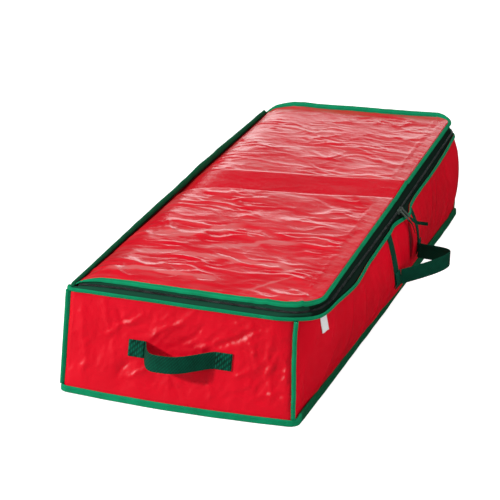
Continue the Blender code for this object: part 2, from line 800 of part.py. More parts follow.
def make_lid_panel(lid_axis):
    rows = lid_rows()
    outer = [[raised(p, lid_height(p.x, p.y)) for p in row] for row in rows]
    inner = [[p - Vector((0.0, 0.0, PANEL_THICKNESS)) for p in row] for row in outer]
    add_piece("lid_panel", sheet_solid(outer, inner), "red_tarp", lid_axis)


def binding_angle(k, count, share):
    """Angle of the lid's binding: laid over the zip tape, but standing up at the rear."""
    rear_start = count - (2 * ARC_STEPS + END_STEPS + 2)
    laid = blend(LID_BINDING_LOW_ANGLE, LID_BINDING_ANGLE, share)
    return blend(laid, LID_BINDING_REAR_ANGLE, min(max((k - rear_start) / ARC_STEPS, 0.0), 1.0))


def make_lid_binding(lid_axis):
    lid = lid_curve()
    hinge_ends = [Vector((LID_LEFT + GAP, end.y)) for end in (lid[0], lid[-1])]
    lid = hinge_ends[:1] + lid + hinge_ends[1:]
    outs = open_normals(lid)
    sections = []
    half = LID_BINDING_THICK / 2
    for k, (point, out) in enumerate(zip(lid, outs)):
        angle = binding_angle(k, len(lid), lift_share(point))
        out = raised(out, 0.0)
        up = Vector((0.0, 0.0, 1.0))
        along = out * math.cos(angle) + up * math.sin(angle)
        across = up * math.cos(angle) - out * math.sin(angle)
        level = lid_height(point.x, point.y) - PANEL_THICKNESS / 2
        root = raised(point, level) + out * (GAP + half)
        grown = 1 - math.exp(-(point.x - LID_LEFT) / LID_BINDING_END_RUN)
        wide = blend(LID_BINDING_WIDE, LID_BINDING_SIDE_WIDE, max(0.0, out.x) ** 2)
        wide *= blend(LID_BINDING_END_SHARE, 1.0, grown)
        tip = root + along * wide
        belly = root + along * wide * LID_BINDING_BELLY_SHARE
        slim = half * LID_BINDING_TIP_SHARE
        sections.append([root - across * half, belly - across * half, tip - across * slim,
                         tip + across * slim, belly + across * half, root + across * half])
    add_piece("lid_binding", swept_solid(sections), "green_binding", lid_axis)


def make_hinge_binding(lid_axis):
    """Seam of the lid's hinged edge, which stands up along the rim, lower at its near end."""
    start = rim_front_y() + HINGE_CORNER_RADIUS + HINGE_BINDING_END
    end = rear_y(HINGE_AXIS.x, 1) - HINGE_CORNER_RADIUS - HINGE_BINDING_END
    sections = []
    for k in range(HINGE_BINDING_STEPS + 1):
        y = blend(start, end, k / HINGE_BINDING_STEPS)
        tall = smooth_table(HINGE_BINDING_HEIGHTS, y / (LENGTH / 2))
        sections.append([Vector((HINGE_AXIS.x + HINGE_BINDING_THICK * across, y,
                                 HINGE_AXIS.z + tall * up))
                         for across, up in HINGE_PROFILE_SHARES])
    add_piece("hinge_binding", swept_solid(sections), "green_binding", lid_axis)


def pocket_solid(start, end, left_share, right_share):
    """Vinyl sheet under the lid between two places along it and two shares across."""
    left = LID_LEFT + POCKET_MARGIN
    outer = []
    for j in range(POCKET_ROWS + 1):
        y = blend(start, end, j / POCKET_ROWS)
        right = lid_side_x(y) - POCKET_SIDE_MARGIN
        row = []
        for share in POCKET_COLUMN_SHARES:
            x = blend(left, right, blend(left_share, right_share, share))
            drop = PANEL_THICKNESS + POCKET_DROP
            row.append(Vector((x, y, lid_height(x, y) - drop)))
        outer.append(row)
    inner = [[p - Vector((0.0, 0.0, POCKET_THICKNESS)) for p in row] for row in outer]
    return sheet_solid(outer, inner)


def hem_share():
    """Share of a pocket's width where the hem of its mouth starts."""
    left = LID_LEFT + POCKET_MARGIN
    right = lid_side_x(0.0) - POCKET_SIDE_MARGIN
    return 1.0 - POCKET_HEM_WIDE / (right - left)


def make_pockets(lid_axis):
    lid = lid_curve()
    spans = (("front", lid[0].y + POCKET_MARGIN, POCKET_FRONT_END),
             ("rear", POCKET_REAR_START, lid[-1].y - POCKET_MARGIN))
    hem = hem_share()
    seam = GAP / WIDTH
    for name, start, end in spans:
        add_piece("lid_pocket_" + name, pocket_solid(start, end, 0.0, hem - seam),
                  "clear_vinyl", lid_axis)
        add_piece("lid_pocket_mouth_tape_" + name, pocket_solid(start, end, hem, 1.0),
                  "green_binding", lid_axis)


# Webbing handles on the ends

def bell(share):
    """Bow of a handle: level at its sewn ends, full at its middle."""
    inner, outer = HANDLE_BOW_POWERS
    return max(0.0, 1.0 - abs(share) ** inner) ** outer


def skewed(share, peak):
    """Share that is zero at the peak and keeps its value at both ends."""
    return (share - peak) / (1 - peak * share)


def end_wall_frame(x, facing):
    """Middle of the handle's band on an end wall, with its outward and upward directions."""
    wall = front_y if facing < 0 else rear_y
    half = WEBBING_WIDE / 2
    low = Vector((x, wall(x, (HANDLE_HEIGHT - half) / RIM_HEIGHT), HANDLE_HEIGHT - half))
    high = Vector((x, wall(x, (HANDLE_HEIGHT + half) / RIM_HEIGHT), HANDLE_HEIGHT + half))
    up = (high - low).normalized()
    out = up.cross(Vector((facing, 0.0, 0.0)))
    return (low + high) / 2, out, up


def sewn_end(name, x, facing):
    """Square end of a webbing handle, sewn flat on the wall."""
    half = WEBBING_WIDE / 2
    outer = []
    inner = []
    for rise in (-half, half):
        near = []
        far = []
        for side in (-half, half):
            place, out, up = end_wall_frame(x + side, facing)
            place = place + up * rise
            near.append(place + out * GAP)
            far.append(place + out * (GAP + WEBBING_THICK))
        inner.append(near)
        outer.append(far)
    add_piece(name, sheet_solid(outer, inner), "green_webbing")


def end_handle_loop(facing):
    """Sections of the free loop between the sewn ends."""
    reach = HANDLE_SPACING / 2 - WEBBING_WIDE / 2 - GAP
    half = WEBBING_WIDE / 2
    path = []
    for k in range(HANDLE_STEPS + 1):
        share = -math.cos(math.pi * k / HANDLE_STEPS)
        x = reach * share
        place, out, up = end_wall_frame(x, facing)
        full = bell(skewed(share, HANDLE_SKEW_SHARE * facing))
        bow = HANDLE_BOW * full + GAP + WEBBING_THICK / 2
        path.append((place + out * bow - up * HANDLE_DROOP * full, up))
    sections = []
    for k, (place, up) in enumerate(path):
        step = Vector((1.0, 0.0, 0.0))
        if 0 < k < HANDLE_STEPS:
            step = path[k + 1][0] - path[k - 1][0]
        face = step.cross(up).normalized() * WEBBING_THICK / 2
        sections.append([place - up * half - face, place - up * half + face,
                         place + up * half + face, place + up * half - face])
    return sections


def make_end_handle(name, facing):
    offset = HANDLE_SPACING / 2
    sewn_end(name + "_handle_left_end", -offset, facing)
    sewn_end(name + "_handle_right_end", offset, facing)
    place, out, up = end_wall_frame(HANDLE_SPACING / 2 - WEBBING_WIDE / 2, facing)
    place.x = 0.0
    pivot = place + out * (GAP + WEBBING_THICK / 2) + up * WEBBING_WIDE / 2
    axis = add_axis(name + "_handle_axis", pivot)
    add_piece(name + "_handle_strap", swept_solid(end_handle_loop(facing)), "green_webbing",
              axis)


# Webbing handle on the opening side

def side_face(y, height):
    t = height / RIM_HEIGHT
    return Vector((half_width(t) + bulge(y, t), y, height))


def strap_on_side(y, low, high, start, thickness):
    """Flat webbing that follows the opening side between two heights."""
    half = WEBBING_WIDE / 2
    inside = [row for row in wall_rows() if low + GAP < row < high - GAP]
    outer = []
    inner = []
    for height in [low] + inside + [high]:
        places = [side_face(y + side, height) for side in (-half, 0.0, half)]
        inner.append([p + Vector((start, 0.0, 0.0)) for p in places])
        outer.append([p + Vector((start + thickness, 0.0, 0.0)) for p in places])
    return sheet_solid(outer, inner)


def side_handle_height(y):
    """Middle of the side handle's webbing, which is sewn a little higher at its far end."""
    return HANDLE_HEIGHT + SIDE_HANDLE_RISE * ((y - SIDE_HANDLE_Y) / SIDE_HANDLE_SPACING + 0.5)


def side_loop_sections():
    """Sections of the free loop between the two upright straps."""
    half = WEBBING_WIDE / 2
    reach = SIDE_HANDLE_SPACING / 2 - half - GAP
    clearance = 4 * GAP + SUPPORT_THICK
    up = Vector((0.0, 0.0, 1.0))
    path = []
    for k in range(HANDLE_STEPS + 1):
        share = -math.cos(math.pi * k / HANDLE_STEPS)
        y = SIDE_HANDLE_Y + reach * share
        inner, outer = SIDE_LOOP_NEAR_POWERS if share < 0 else SIDE_LOOP_FAR_POWERS
        spread = max(0.0, 1.0 - abs(share) ** inner) ** outer
        base = side_face(y, side_handle_height(y))
        out = clearance + WEBBING_THICK / 2 + SIDE_HANDLE_BOW * spread
        path.append(base + Vector((out, 0.0, SIDE_HANDLE_LIFT * spread)))
    sections = []
    for k, place in enumerate(path):
        step = Vector((0.0, 1.0, 0.0))
        if 0 < k < HANDLE_STEPS:
            step = path[k + 1] - path[k - 1]
        step.z = 0.0
        face = step.cross(up).normalized() * WEBBING_THICK / 2
        sections.append([place - up * half - face, place - up * half + face,
                         place + up * half + face, place + up * half - face])
    return sections


def make_side_handle():
    top = RIM_HEIGHT - RIM_BINDING_DROP - GAP
    half = WEBBING_WIDE / 2
    offset = SIDE_HANDLE_SPACING / 2
    for name, y in (("near", SIDE_HANDLE_Y - offset), ("far", SIDE_HANDLE_Y + offset)):
        low = side_handle_height(y) - half
        high = side_handle_height(y) + half
        add_piece("side_support_strap_" + name,
                  strap_on_side(y, low, top, GAP + PANEL_THICKNESS / 4, SUPPORT_THICK),
                  "green_webbing")
        add_piece("side_handle_" + name + "_end",
                  strap_on_side(y, low, high, 4 * GAP + SUPPORT_THICK, WEBBING_THICK),
                  "green_webbing")
    root = side_face(SIDE_HANDLE_Y, side_handle_height(SIDE_HANDLE_Y) + half)
    pivot = root + Vector((4 * GAP + SUPPORT_THICK + WEBBING_THICK / 2, 0.0, 0.0))
    axis = add_axis("side_handle_axis", pivot)
    add_piece("side_handle_strap", swept_solid(side_loop_sections()), "green_webbing", axis)


def make_label():
    """Plain folded label caught under the rim's binding."""
    top = RIM_HEIGHT - RIM_BINDING_DROP - GAP
    half = LABEL_WIDE / 2
    outer = []
    inner = []
    for share in (0.0, 0.5, 1.0):
        height = top - LABEL_TALL * share
        out = 2 * GAP + LABEL_FLARE * share
        places = [side_face(LABEL_Y + side, height) for side in (-half, 0.0, half)]
        inner.append([p + Vector((out, 0.0, 0.0)) for p in places])
        outer.append([p + Vector((out + LABEL_THICK, 0.0, 0.0)) for p in places])
    add_piece("sewn_in_label", sheet_solid(outer, inner), "white_label")


# Sliders, pullers and ribbons

def track_frame(side):
    """Middle of a slider's seat with its directions along, up and off the zip."""
    start, end = track_ends()
    far_y = end if side > 0 else start
    along = Vector((track_x(far_y) - TRACK_MID_X, far_y - TRACK_MID_Y, 0.0)).normalized()
    out = Vector((along.y, -along.x, 0.0)) * side
    up = Vector((0.0, 0.0, 1.0))
    rising = up * math.sin(ZIP_SLOPE) - out * math.cos(ZIP_SLOPE)
    off = up * math.cos(ZIP_SLOPE) + out * math.sin(ZIP_SLOPE)
    meeting = Vector((TRACK_MID_X, TRACK_MID_Y, RIM_HEIGHT + ZIP_HEIGHT))
    centre = meeting + along * (SLIDER_LENGTH / 2 + 2 * GAP)
    return centre, along, out, rising, off


def plate_height():
    """Height off the tape's inner face where the slider's top plate starts."""
    return TAPE_THICKNESS + 2 * GAP + COIL_TALL


def pin_height():
    return plate_height() + SLIDER_PLATE + PULLER_EYE + PULLER_THICK + GAP


def union(target, other):
    join = target.modifiers.new("join", "BOOLEAN")
    join.operation = "UNION"
    join.object = other
    other.hide_render = True
    other.display_type = "WIRE"


def slider_body(end):
    centre, along, _, rising, off = track_frame(end)
    low = plate_height()
    half = SLIDER_HALF_WIDTH
    web = SLIDER_WEB / 2
    under = -SLIDER_UNDER_GAP
    lip = TAPE_SHOULDER - GAP
    top = low + SLIDER_PLATE
    side = blend(low, top, SLIDER_SIDE_SHARE)
    shape = ((-half, low), (-web, low), (-web, under - SLIDER_UNDER_PLATE),
             (lip, under - SLIDER_UNDER_PLATE), (lip, under), (web, under), (web, low),
             (half, low), (half, side), (half * SLIDER_TOP_SHARE, top),
             (-half * SLIDER_TOP_SHARE, top), (-half, side))
    start = centre - along * SLIDER_LENGTH / 2
    profile = [start + rising * a + off * b for a, b in shape]
    return prism_solid(profile, along * SLIDER_LENGTH)


def bail_loop(side):
    """Arch on the slider whose upper bar is the puller's pin."""
    centre, along, _, rising, off = track_frame(side)
    seat = plate_height() + SLIDER_PLATE / 2
    pin = pin_height()
    inside = PULLER_WIDTH / 2 + GAP
    outside = inside + BAIL_POST
    under = pin - PIN_SIZE / 2
    over = pin + PIN_SIZE / 2
    shape = ((-outside, seat), (-inside, seat), (-inside, under), (inside, under),
             (inside, seat), (outside, seat), (outside, over - PIN_SIZE / 4),
             (outside - PIN_SIZE / 4, over), (-outside + PIN_SIZE / 4, over),
             (-outside, over - PIN_SIZE / 4))
    start = centre - rising * PIN_SIZE / 2
    profile = [start + along * a + off * b for a, b in shape]
    return prism_solid(profile, rising * PIN_SIZE)


def puller_frame(side):
    """Pin's place with the puller's directions: along the pin, down the tab, off the tab."""
    centre, along, out, _, off = track_frame(side)
    pin = centre + off * pin_height()
    up = Vector((0.0, 0.0, 1.0))
    down = out * math.cos(PULLER_ANGLE) + up * math.sin(PULLER_ANGLE)
    face = up * math.cos(PULLER_ANGLE) - out * math.sin(PULLER_ANGLE)
    return pin, along, down, face


def puller_tab(side):
    """Flat tab whose end is rolled round the pin."""
    pin, along, down, face = puller_frame(side)
    start = math.asin(PULLER_THICK / (PULLER_EYE + PULLER_THICK))
    outer = []
    inner = []
    for k in range(EYE_STEPS + 1):
        angle = blend(start, PULLER_EYE_TURN, k / EYE_STEPS)
        turned = down * math.cos(angle) + face * math.sin(angle)
        outer.append(turned * (PULLER_EYE + PULLER_THICK))
        inner.append(turned * PULLER_EYE)
    rise = outer[0].dot(face)
    tip = down * PULLER_LENGTH
    inner[0] = down * (PULLER_EYE + PULLER_THICK / 2) + face * (rise - PULLER_THICK)
    profile = [tip + face * (rise - PULLER_THICK), tip + face * rise] + outer + inner[::-1]
    begin = pin - along * PULLER_WIDTH / 2
    return prism_solid([begin + p for p in profile], along * PULLER_WIDTH)


def ribbon_start(side):
    pin, _, down, _ = puller_frame(side)
    return pin + down * (PULLER_LENGTH + GAP)


def ribbon_solid(side, length, angle, twist):
    """Ribbon tail that leaves the tab's end, turns towards its own angle and twists."""
    _, along, out, _, _ = track_frame(side)
    up = Vector((0.0, 0.0, 1.0))
    place = ribbon_start(side)
    sections = []
    for k in range(RIBBON_STEPS + 1):
        share = min(1.0, 2 * k / RIBBON_STEPS)
        turn = blend(PULLER_ANGLE, angle, share)
        direction = out * math.cos(turn) + up * math.sin(turn)
        flat = up * math.cos(turn) - out * math.sin(turn)
        wide = along * math.cos(twist * share) + flat * math.sin(twist * share)
        half = wide * RIBBON_WIDE / 2
        face = direction.cross(wide).normalized() * RIBBON_THICK / 2
        sections.append([place - half - face, place + half - face, place + half + face,
                         place - half + face])
        place = place + direction * length / RIBBON_STEPS
    return swept_solid(sections)


def make_slider(name, side, ribbon, lid_axis):
    centre, _, _, _, _ = track_frame(side)
    slide = add_axis(name + "_slide", centre, lid_axis)
    body = add_piece(name + "_slider", slider_body(side), "dark_metal", slide)
    bail = add_piece(name + "_bail_form", bail_loop(side), "dark_metal", slide)
    union(body, bail)
    pin = puller_frame(side)[0]
    swing = add_axis(name + "_puller_axis", pin, slide)
    add_piece(name + "_puller", puller_tab(side), "dark_metal", swing)
    hang = add_axis(name + "_ribbon_axis", ribbon_start(side), swing)
    length, angle, twist = ribbon
    add_piece(name + "_pull_ribbon", ribbon_solid(side, length, angle, twist),
              "green_webbing", hang)


def clear_scene():
    for item in list(bpy.data.objects):
        bpy.data.objects.remove(item, do_unlink=True)


def main():
    clear_scene()
    make_base()
    make_walls()
    make_bottom_binding()
    make_corner_bindings()
    make_rim_binding()
    make_body_zip()
    make_end_handle("front", -1)
    make_end_handle("rear", 1)
    make_side_handle()
    make_label()
    lid_axis = add_axis("lid_hinge_axis", HINGE_AXIS)
    make_lid_panel(lid_axis)
    make_lid_binding(lid_axis)
    make_hinge_binding(lid_axis)
    make_lid_zip(lid_axis)
    make_pockets(lid_axis)
    make_slider("near", -1, (NEAR_RIBBON_LENGTH, NEAR_RIBBON_ANGLE, NEAR_RIBBON_TWIST), lid_axis)
    make_slider("far", 1, (FAR_RIBBON_LENGTH, FAR_RIBBON_ANGLE, FAR_RIBBON_TWIST), lid_axis)


main()
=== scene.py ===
import math

import bpy
import numpy as np
from mathutils import Matrix, Vector


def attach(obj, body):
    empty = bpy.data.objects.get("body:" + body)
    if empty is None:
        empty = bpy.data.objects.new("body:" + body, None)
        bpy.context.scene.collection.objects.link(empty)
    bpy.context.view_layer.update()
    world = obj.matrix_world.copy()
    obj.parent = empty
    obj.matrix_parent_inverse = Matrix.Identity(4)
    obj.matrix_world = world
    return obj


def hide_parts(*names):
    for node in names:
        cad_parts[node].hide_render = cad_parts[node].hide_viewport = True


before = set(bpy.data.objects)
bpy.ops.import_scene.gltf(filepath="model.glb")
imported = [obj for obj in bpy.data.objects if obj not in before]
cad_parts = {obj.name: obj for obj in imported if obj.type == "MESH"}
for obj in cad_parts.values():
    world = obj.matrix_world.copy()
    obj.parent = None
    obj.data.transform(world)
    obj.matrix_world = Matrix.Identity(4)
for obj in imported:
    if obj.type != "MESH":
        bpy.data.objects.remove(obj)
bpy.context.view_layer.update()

# Camera, in the row frame
CAMERA_PLACE = (1.02606, -3.63460, 1.41353)
CAMERA_AZIMUTH = 0.28805
CAMERA_ELEVATION = 0.34148
CAMERA_ROLL = 0.03809
CAMERA_LENS = 177.70

# Box shape, as in the part
LENGTH = 1.029
WIDTH = 0.3555
RIM_HEIGHT = 0.152
PANEL = 0.0012
GAP = 0.0003
FRONT_LEAN = 0.022
REAR_LEAN_LEFT = 0.027
REAR_LEAN_RIGHT = 0.001
SIDE_LEAN = 0.001
FRONT_FOOT_BOW = 0.011
REAR_FOOT_BOW = 0.006
FOOT_CORNER_RADIUS = 0.010
NEAR_CORNER_RADIUS = 0.045
FAR_CORNER_RADIUS = 0.032
HINGE_CORNER_RADIUS = 0.010
FOOT_BULGE = 0.002
MID_BULGE = 0.039
RIM_BULGE = 0.029
FOOT_BULGE_SHARES = ((-0.97, 0.0), (-0.88, 0.5), (-0.60, 0.9), (-0.20, 1.0), (0.30, 1.0),
                     (0.80, 1.0), (0.97, 0.0))
MID_BULGE_SHARES = ((-0.97, 0.0), (-0.90, 0.28), (-0.80, 0.55), (-0.60, 0.85), (-0.30, 0.93),
                    (0.0, 1.0), (0.12, 0.90), (0.22, 0.72), (0.40, 0.52), (0.65, 0.42),
                    (0.87, 0.42), (0.94, 0.28), (0.99, 0.0))
RIM_BULGE_SHARES = ((-0.957, 0.0), (-0.93, 0.35), (-0.91, 0.50), (-0.87, 0.64), (-0.835, 0.72),
                    (-0.76, 0.80), (-0.68, 0.93), (-0.60, 1.0), (-0.43, 0.80), (-0.22, 0.66),
                    (-0.127, 0.60), (-0.052, 0.52), (0.025, 0.76), (0.069, 0.84), (0.11, 0.70),
                    (0.156, 0.53), (0.25, 0.40), (0.462, 0.33), (0.62, 0.22), (0.80, 0.04),
                    (0.90, -0.09), (0.96, -0.14))
# Bindings: the tapes over the seams
BINDING_GAP = 0.0006
BINDING_WOBBLE = 0.0004
BOTTOM_TALL = 0.0095
BOTTOM_THICK = 0.0037
RIM_DROP = 0.003
RIM_RISE = 0.0025
RIM_THICK = 0.0024
RIM_SWELL = 0.003
CORNER_LEFT = (0.0055, 0.007)
CORNER_RIGHT = (0.0035, 0.0075)
CORNER_THICK = 0.0065
CORNER_SUNK = 0.002
LID_BINDING_WIDE = 0.009
LID_BINDING_SIDE_WIDE = 0.0065
LID_BINDING_THICK = 0.0022
LID_BINDING_ANGLE = math.radians(-50.0)
LID_BINDING_LOW_ANGLE = math.radians(38.0)
LID_BINDING_REAR_ANGLE = math.radians(72.0)
LID_BINDING_END_RUN = 0.022
HINGE_THICK = 0.0065
HINGE_HEIGHTS = ((-0.92, 0.0055), (-0.70, 0.0075), (-0.544, 0.0085), (-0.35, 0.011),
                 (-0.155, 0.0112), (0.058, 0.0128), (0.194, 0.0145), (0.428, 0.013),
                 (0.641, 0.0112), (0.92, 0.0092))
# Zip and lid; a corner has its reach along x and y and its power
ZIP_HEIGHT = 0.009
ZIP_SLOPE = math.radians(60.0)
ZIP_INSET = 0.006
TRACK_NEAR_X = 0.1965
TRACK_MID_X = 0.1885
TRACK_FAR_X = 0.1715
TRACK_MID_Y = 0.012
TRACK_NEAR_CORNER = (0.055, 0.086, 2.5)
TRACK_FAR_CORNER = (0.038, 0.038, 2.0)
TAPE_THICK = 0.0008
TAPE_SHOULDER = 0.0036
TAPE_SPLIT = 0.0012
TAPE_RUNS = 7
# Where the painted shade of the opening side starts, x, and how far it goes either way, y: there its tapes
# take darker copies of their materials
BOTTOM_SHADE = (0.172, 0.497)
ZIP_SHADE = (0.160, 0.47)
LID_INSET = 0.0125
LID_NEAR_X = 0.191
LID_FAR_X = 0.1645
LID_NEAR_CORNER = (0.045, 0.045, 2.0)
LID_FAR_CORNER = (0.032, 0.032, 2.0)
LID_SIDE_TAPER = 0.004
LID_TAPER_RUN = 0.022
HINGE_LID_LIFT = 0.004
HINGE_LID_DIP = 0.0035
HINGE_DIP_RUN = 0.018
HINGE_DIP_SHARES = ((-0.97, 0.0), (-0.80, 1.0), (0.80, 1.0), (0.97, 0.0))
LID_RISE = 0.0195
LID_RISE_RUN = 0.025
LID_TILT = 0.005
# Pockets under the lid: their edges, film and mouth tape
POCKET_EDGE = 0.012
POCKET_SIDE_EDGE = 0.026
POCKET_FRONT_END = -0.003
POCKET_REAR_START = 0.090
FILM_THICK = 0.0006
FILM_GAP = 0.0004
FILM_SAG = (0.0006, 0.0014)
MOUTH_WIDE = 0.010
MOUTH_THICK = 0.0008
# Webbing, handles and label
WEB_WIDE = 0.025
WEB_THICK = 0.0016
HANDLE_HEIGHT = 0.0795
HANDLE_SPACING = 0.132
HANDLE_BOW = 0.035
HANDLE_DROOP = 0.011
HANDLE_SKEW = 0.35
SIDE_SPACING = 0.146
SIDE_HANDLE_Y = -0.003
SIDE_HANDLE_RISE = 0.006
SIDE_HANDLE_BOW = 0.0615
SIDE_HANDLE_LIFT = 0.017
# Inner and outer power of the side loop's bow, in its near and its far half
SIDE_LOOP_NEAR = (2.1, 1.05)
SIDE_LOOP_FAR = (1.6, 1.3)
SUPPORT_THICK = 0.0012
UPRIGHT_LIFT = 0.004
PATCH_EDGE = 0.001
PATCH_INSET = 0.0028
# Pull of the near upright on the side: depth, y and its reach, height share and its reach
STRAP_PULL = 0.006
PULL_Y = (-0.076, 0.035)
PULL_HEIGHT = (0.72, 0.26)
# Deep fold of the side: y at its low and high end, z of both
SLIT = (0.001, 0.018, 0.088, 0.143)
LABEL_Y = -0.450
LABEL_WIDE = 0.016
LABEL_TALL = 0.026
LABEL_THICK = 0.0008
# Near and far edge of the lid's smooth band: y at x = 0, and slope
BAND_NEAR = (-0.004, 0.165)
BAND_FAR = (0.092, 0.140)

# Mesh fineness: points on each run of the walls' outline, rows up a wall, stations of a loop
ARC = 20
END = 120
SIDE = 330
HINGE = 310
WALL_ROWS = 52
LOOP_SHARES = -np.cos(np.linspace(0, math.pi, 70))

UP = np.array([0.0, 0.0, 1.0])


def blend(start, end, share):
    return start + (end - start) * share


def smooth(low, high, value):
    share = np.clip((value - low) / (high - low), 0.0, 1.0)
    return share * share * (3 - 2 * share)


def hump(value, middle, reach):
    """Rounded hump, 1 at its middle."""
    return np.exp(-((value - middle) / reach) ** 2)


def unit(vectors):
    return vectors / np.maximum(np.linalg.norm(vectors, axis=-1, keepdims=True), 1e-12)


def lift(points, z):
    """Plan points at one height, or at a height each."""
    return np.column_stack([points, np.broadcast_to(z, len(points))])


# Shape functions

def hermite(table, place):
    """Smooth value at a place between a table's points."""
    places = [entry[0] for entry in table]
    values = [entry[1] for entry in table]
    if place <= places[0]:
        return values[0]
    if place >= places[-1]:
        return values[-1]
    k = int(np.searchsorted(places, place, side="right")) - 1

    def slope(i):
        low = max(i - 1, 0)
        high = min(i + 1, len(places) - 1)
        return (values[high] - values[low]) / (places[high] - places[low])

    run = places[k + 1] - places[k]
    s = (place - places[k]) / run
    return ((2 * s**3 - 3 * s**2 + 1) * values[k] + (s**3 - 2 * s**2 + s) * run * slope(k)
            + (3 * s**2 - 2 * s**3) * values[k + 1] + (s**3 - s**2) * run * slope(k + 1))


def curve(table):
    """Smooth curve along the box, through a table of shares of half its length and values."""
    places = np.linspace(-1.0, 1.0, 2001)
    values = [hermite(table, place) for place in places]
    return lambda y: np.interp(y / (LENGTH / 2), places, values)


foot_share = curve(FOOT_BULGE_SHARES)
mid_share = curve(MID_BULGE_SHARES)
rim_share = curve(RIM_BULGE_SHARES)
dip_share = curve(HINGE_DIP_SHARES)
hinge_height = curve(HINGE_HEIGHTS)


def bulge(y, t):
    """How far the opening side bellies out at a share of its height."""
    start = BOTTOM_TALL / RIM_HEIGHT
    t = np.maximum(0.0, (t - start) / (1 - start))
    pulled = STRAP_PULL * np.maximum(0.0, 1 - ((t - PULL_HEIGHT[0]) / PULL_HEIGHT[1]) ** 2) * hump(y, *PULL_Y)
    return (FOOT_BULGE * foot_share(y) * (1 - t) * (1 - 2 * t) + MID_BULGE * mid_share(y) * 4 * t * (1 - t)
            + RIM_BULGE * rim_share(y) * t * (2 * t - 1) - pulled)


def foot_bow(x, t):
    return np.maximum(0.0, 1 - (2 * x / WIDTH) ** 2) * (1 - t) ** 2


def front_y(x, t):
    return -LENGTH / 2 + FRONT_LEAN * t - FRONT_FOOT_BOW * foot_bow(x, t)


def rear_y(x, t):
    lean = t * blend(REAR_LEAN_LEFT, REAR_LEAN_RIGHT, x / WIDTH + 0.5)
    return LENGTH / 2 - lean + REAR_FOOT_BOW * foot_bow(x, t)


RIM_FRONT = float(front_y(0.0, 1.0))


def half_width(t):
    return WIDTH / 2 - SIDE_LEAN * t


def corner_radii(t):
    share = t ** 1.5
    return (blend(FOOT_CORNER_RADIUS, HINGE_CORNER_RADIUS, share),
            blend(FOOT_CORNER_RADIUS, NEAR_CORNER_RADIUS, share),
            blend(FOOT_CORNER_RADIUS, FAR_CORNER_RADIUS, share))


def ring(height):
    """Fine counterclockwise plan outline of the walls at a height."""
    t = min(max(height / RIM_HEIGHT, 0.0), 1.0)
    left, near, far = corner_radii(t)
    half = half_width(t)

    def corner(middle, start, radius, wall, inward):
        angle = start + np.linspace(0.0, math.pi / 2, ARC + 1)
        x = middle + radius * np.cos(angle)
        return x, wall(x, t) + inward * radius + radius * np.sin(angle)

    def bulged(x, y):
        return x + bulge(y, t), y

    front = blend(left - half, half - near, np.arange(1, END) / END)
    side = blend(front_y(half, t) + near, rear_y(half, t) - far, np.arange(1, SIDE) / SIDE)
    rear = blend(left - half, half - far, np.arange(END - 1, 0, -1) / END)
    parts = [corner(left - half, math.pi, left, front_y, 1),
             (front, front_y(front, t)),
             bulged(*corner(half - near, 1.5 * math.pi, near, front_y, 1)),
             bulged(half, side),
             bulged(*corner(half - far, 0.0, far, rear_y, -1)),
             (rear, rear_y(rear, t)),
             corner(left - half, math.pi / 2, left, rear_y, -1)]
    hinge = blend(parts[-1][1][-1], parts[0][1][0], np.arange(1, HINGE) / HINGE)
    parts.append((np.full_like(hinge, -half), hinge))
    return np.concatenate([np.stack(part, axis=1) for part in parts])


# Point counts of the outline and the places of its four corner seams
OPEN_COUNT = 4 * (ARC + 1) + 2 * (END - 1) + SIDE - 1
RING_COUNT = OPEN_COUNT + HINGE - 1
SEAM_FL = 3 * ARC // 10
SEAM_FR = ARC + END + 4 * ARC // 10
SEAM_RR = ARC + END + ARC + SIDE + 6 * ARC // 10
SEAM_RL = OPEN_COUNT - 1 - 3 * ARC // 10


def outward(step):
    """Plan normals to the right of steps along an outline."""
    return unit(np.stack([step[:, 1], -step[:, 0]], axis=1))


def closed_normals(points):
    return outward(np.roll(points, -1, axis=0) - np.roll(points, 1, axis=0))


def open_normals(points):
    return outward(np.gradient(points, axis=0))


HINGE_X = float(-half_width(1) - 4 * GAP)
LID_LEFT = HINGE_X + HINGE_THICK + GAP


def lid_height(x, y):
    across = (x - LID_LEFT) / WIDTH
    along = y / LENGTH + 0.5
    rise = LID_RISE * (1 - np.exp(-(x - LID_LEFT) / LID_RISE_RUN))
    dip = HINGE_LID_DIP * dip_share(y) * np.exp(-(x - LID_LEFT) / HINGE_DIP_RUN)
    return RIM_HEIGHT + HINGE_LID_LIFT + rise - dip + LID_TILT * across * along


TRACK_START = RIM_FRONT + ZIP_INSET + TRACK_NEAR_CORNER[1]
TRACK_END = float(rear_y(TRACK_FAR_X, 1) - ZIP_INSET - TRACK_FAR_CORNER[1])


def track_x(y):
    near = blend(TRACK_NEAR_X, TRACK_MID_X, (y - TRACK_START) / (TRACK_MID_Y - TRACK_START))
    far = blend(TRACK_MID_X, TRACK_FAR_X, (y - TRACK_MID_Y) / (TRACK_END - TRACK_MID_Y))
    return np.where(np.asarray(y) < TRACK_MID_Y, near, far)


def lid_side_x(y):
    start = RIM_FRONT + LID_INSET + LID_NEAR_CORNER[1]
    end = rear_y(LID_FAR_X, 1) - LID_INSET - LID_FAR_CORNER[1]
    return blend(LID_NEAR_X, LID_FAR_X, (y - start) / (end - start))


def end_taper(x):
    return LID_SIDE_TAPER * np.exp(-(x - LID_LEFT) / LID_TAPER_RUN)


def corner_arc(start, corner):
    """Quarter of a rounded corner, squarer with a higher power."""
    reach_x, reach_y, power = corner
    angle = start + np.linspace(0.0, math.pi / 2, ARC + 1)
    c = np.cos(angle)
    s = np.sin(angle)
    return (np.sign(c) * reach_x * np.abs(c) ** (2 / power),
            np.sign(s) * reach_y * np.abs(s) ** (2 / power))


def end_stations(end_x):
    rim = ring(RIM_HEIGHT)[:ARC + END + 1, 0]
    start_x = LID_LEFT + HINGE_THICK
    return blend(start_x, end_x, (rim[:-1] - rim[0]) / (rim[-1] - rim[0]))


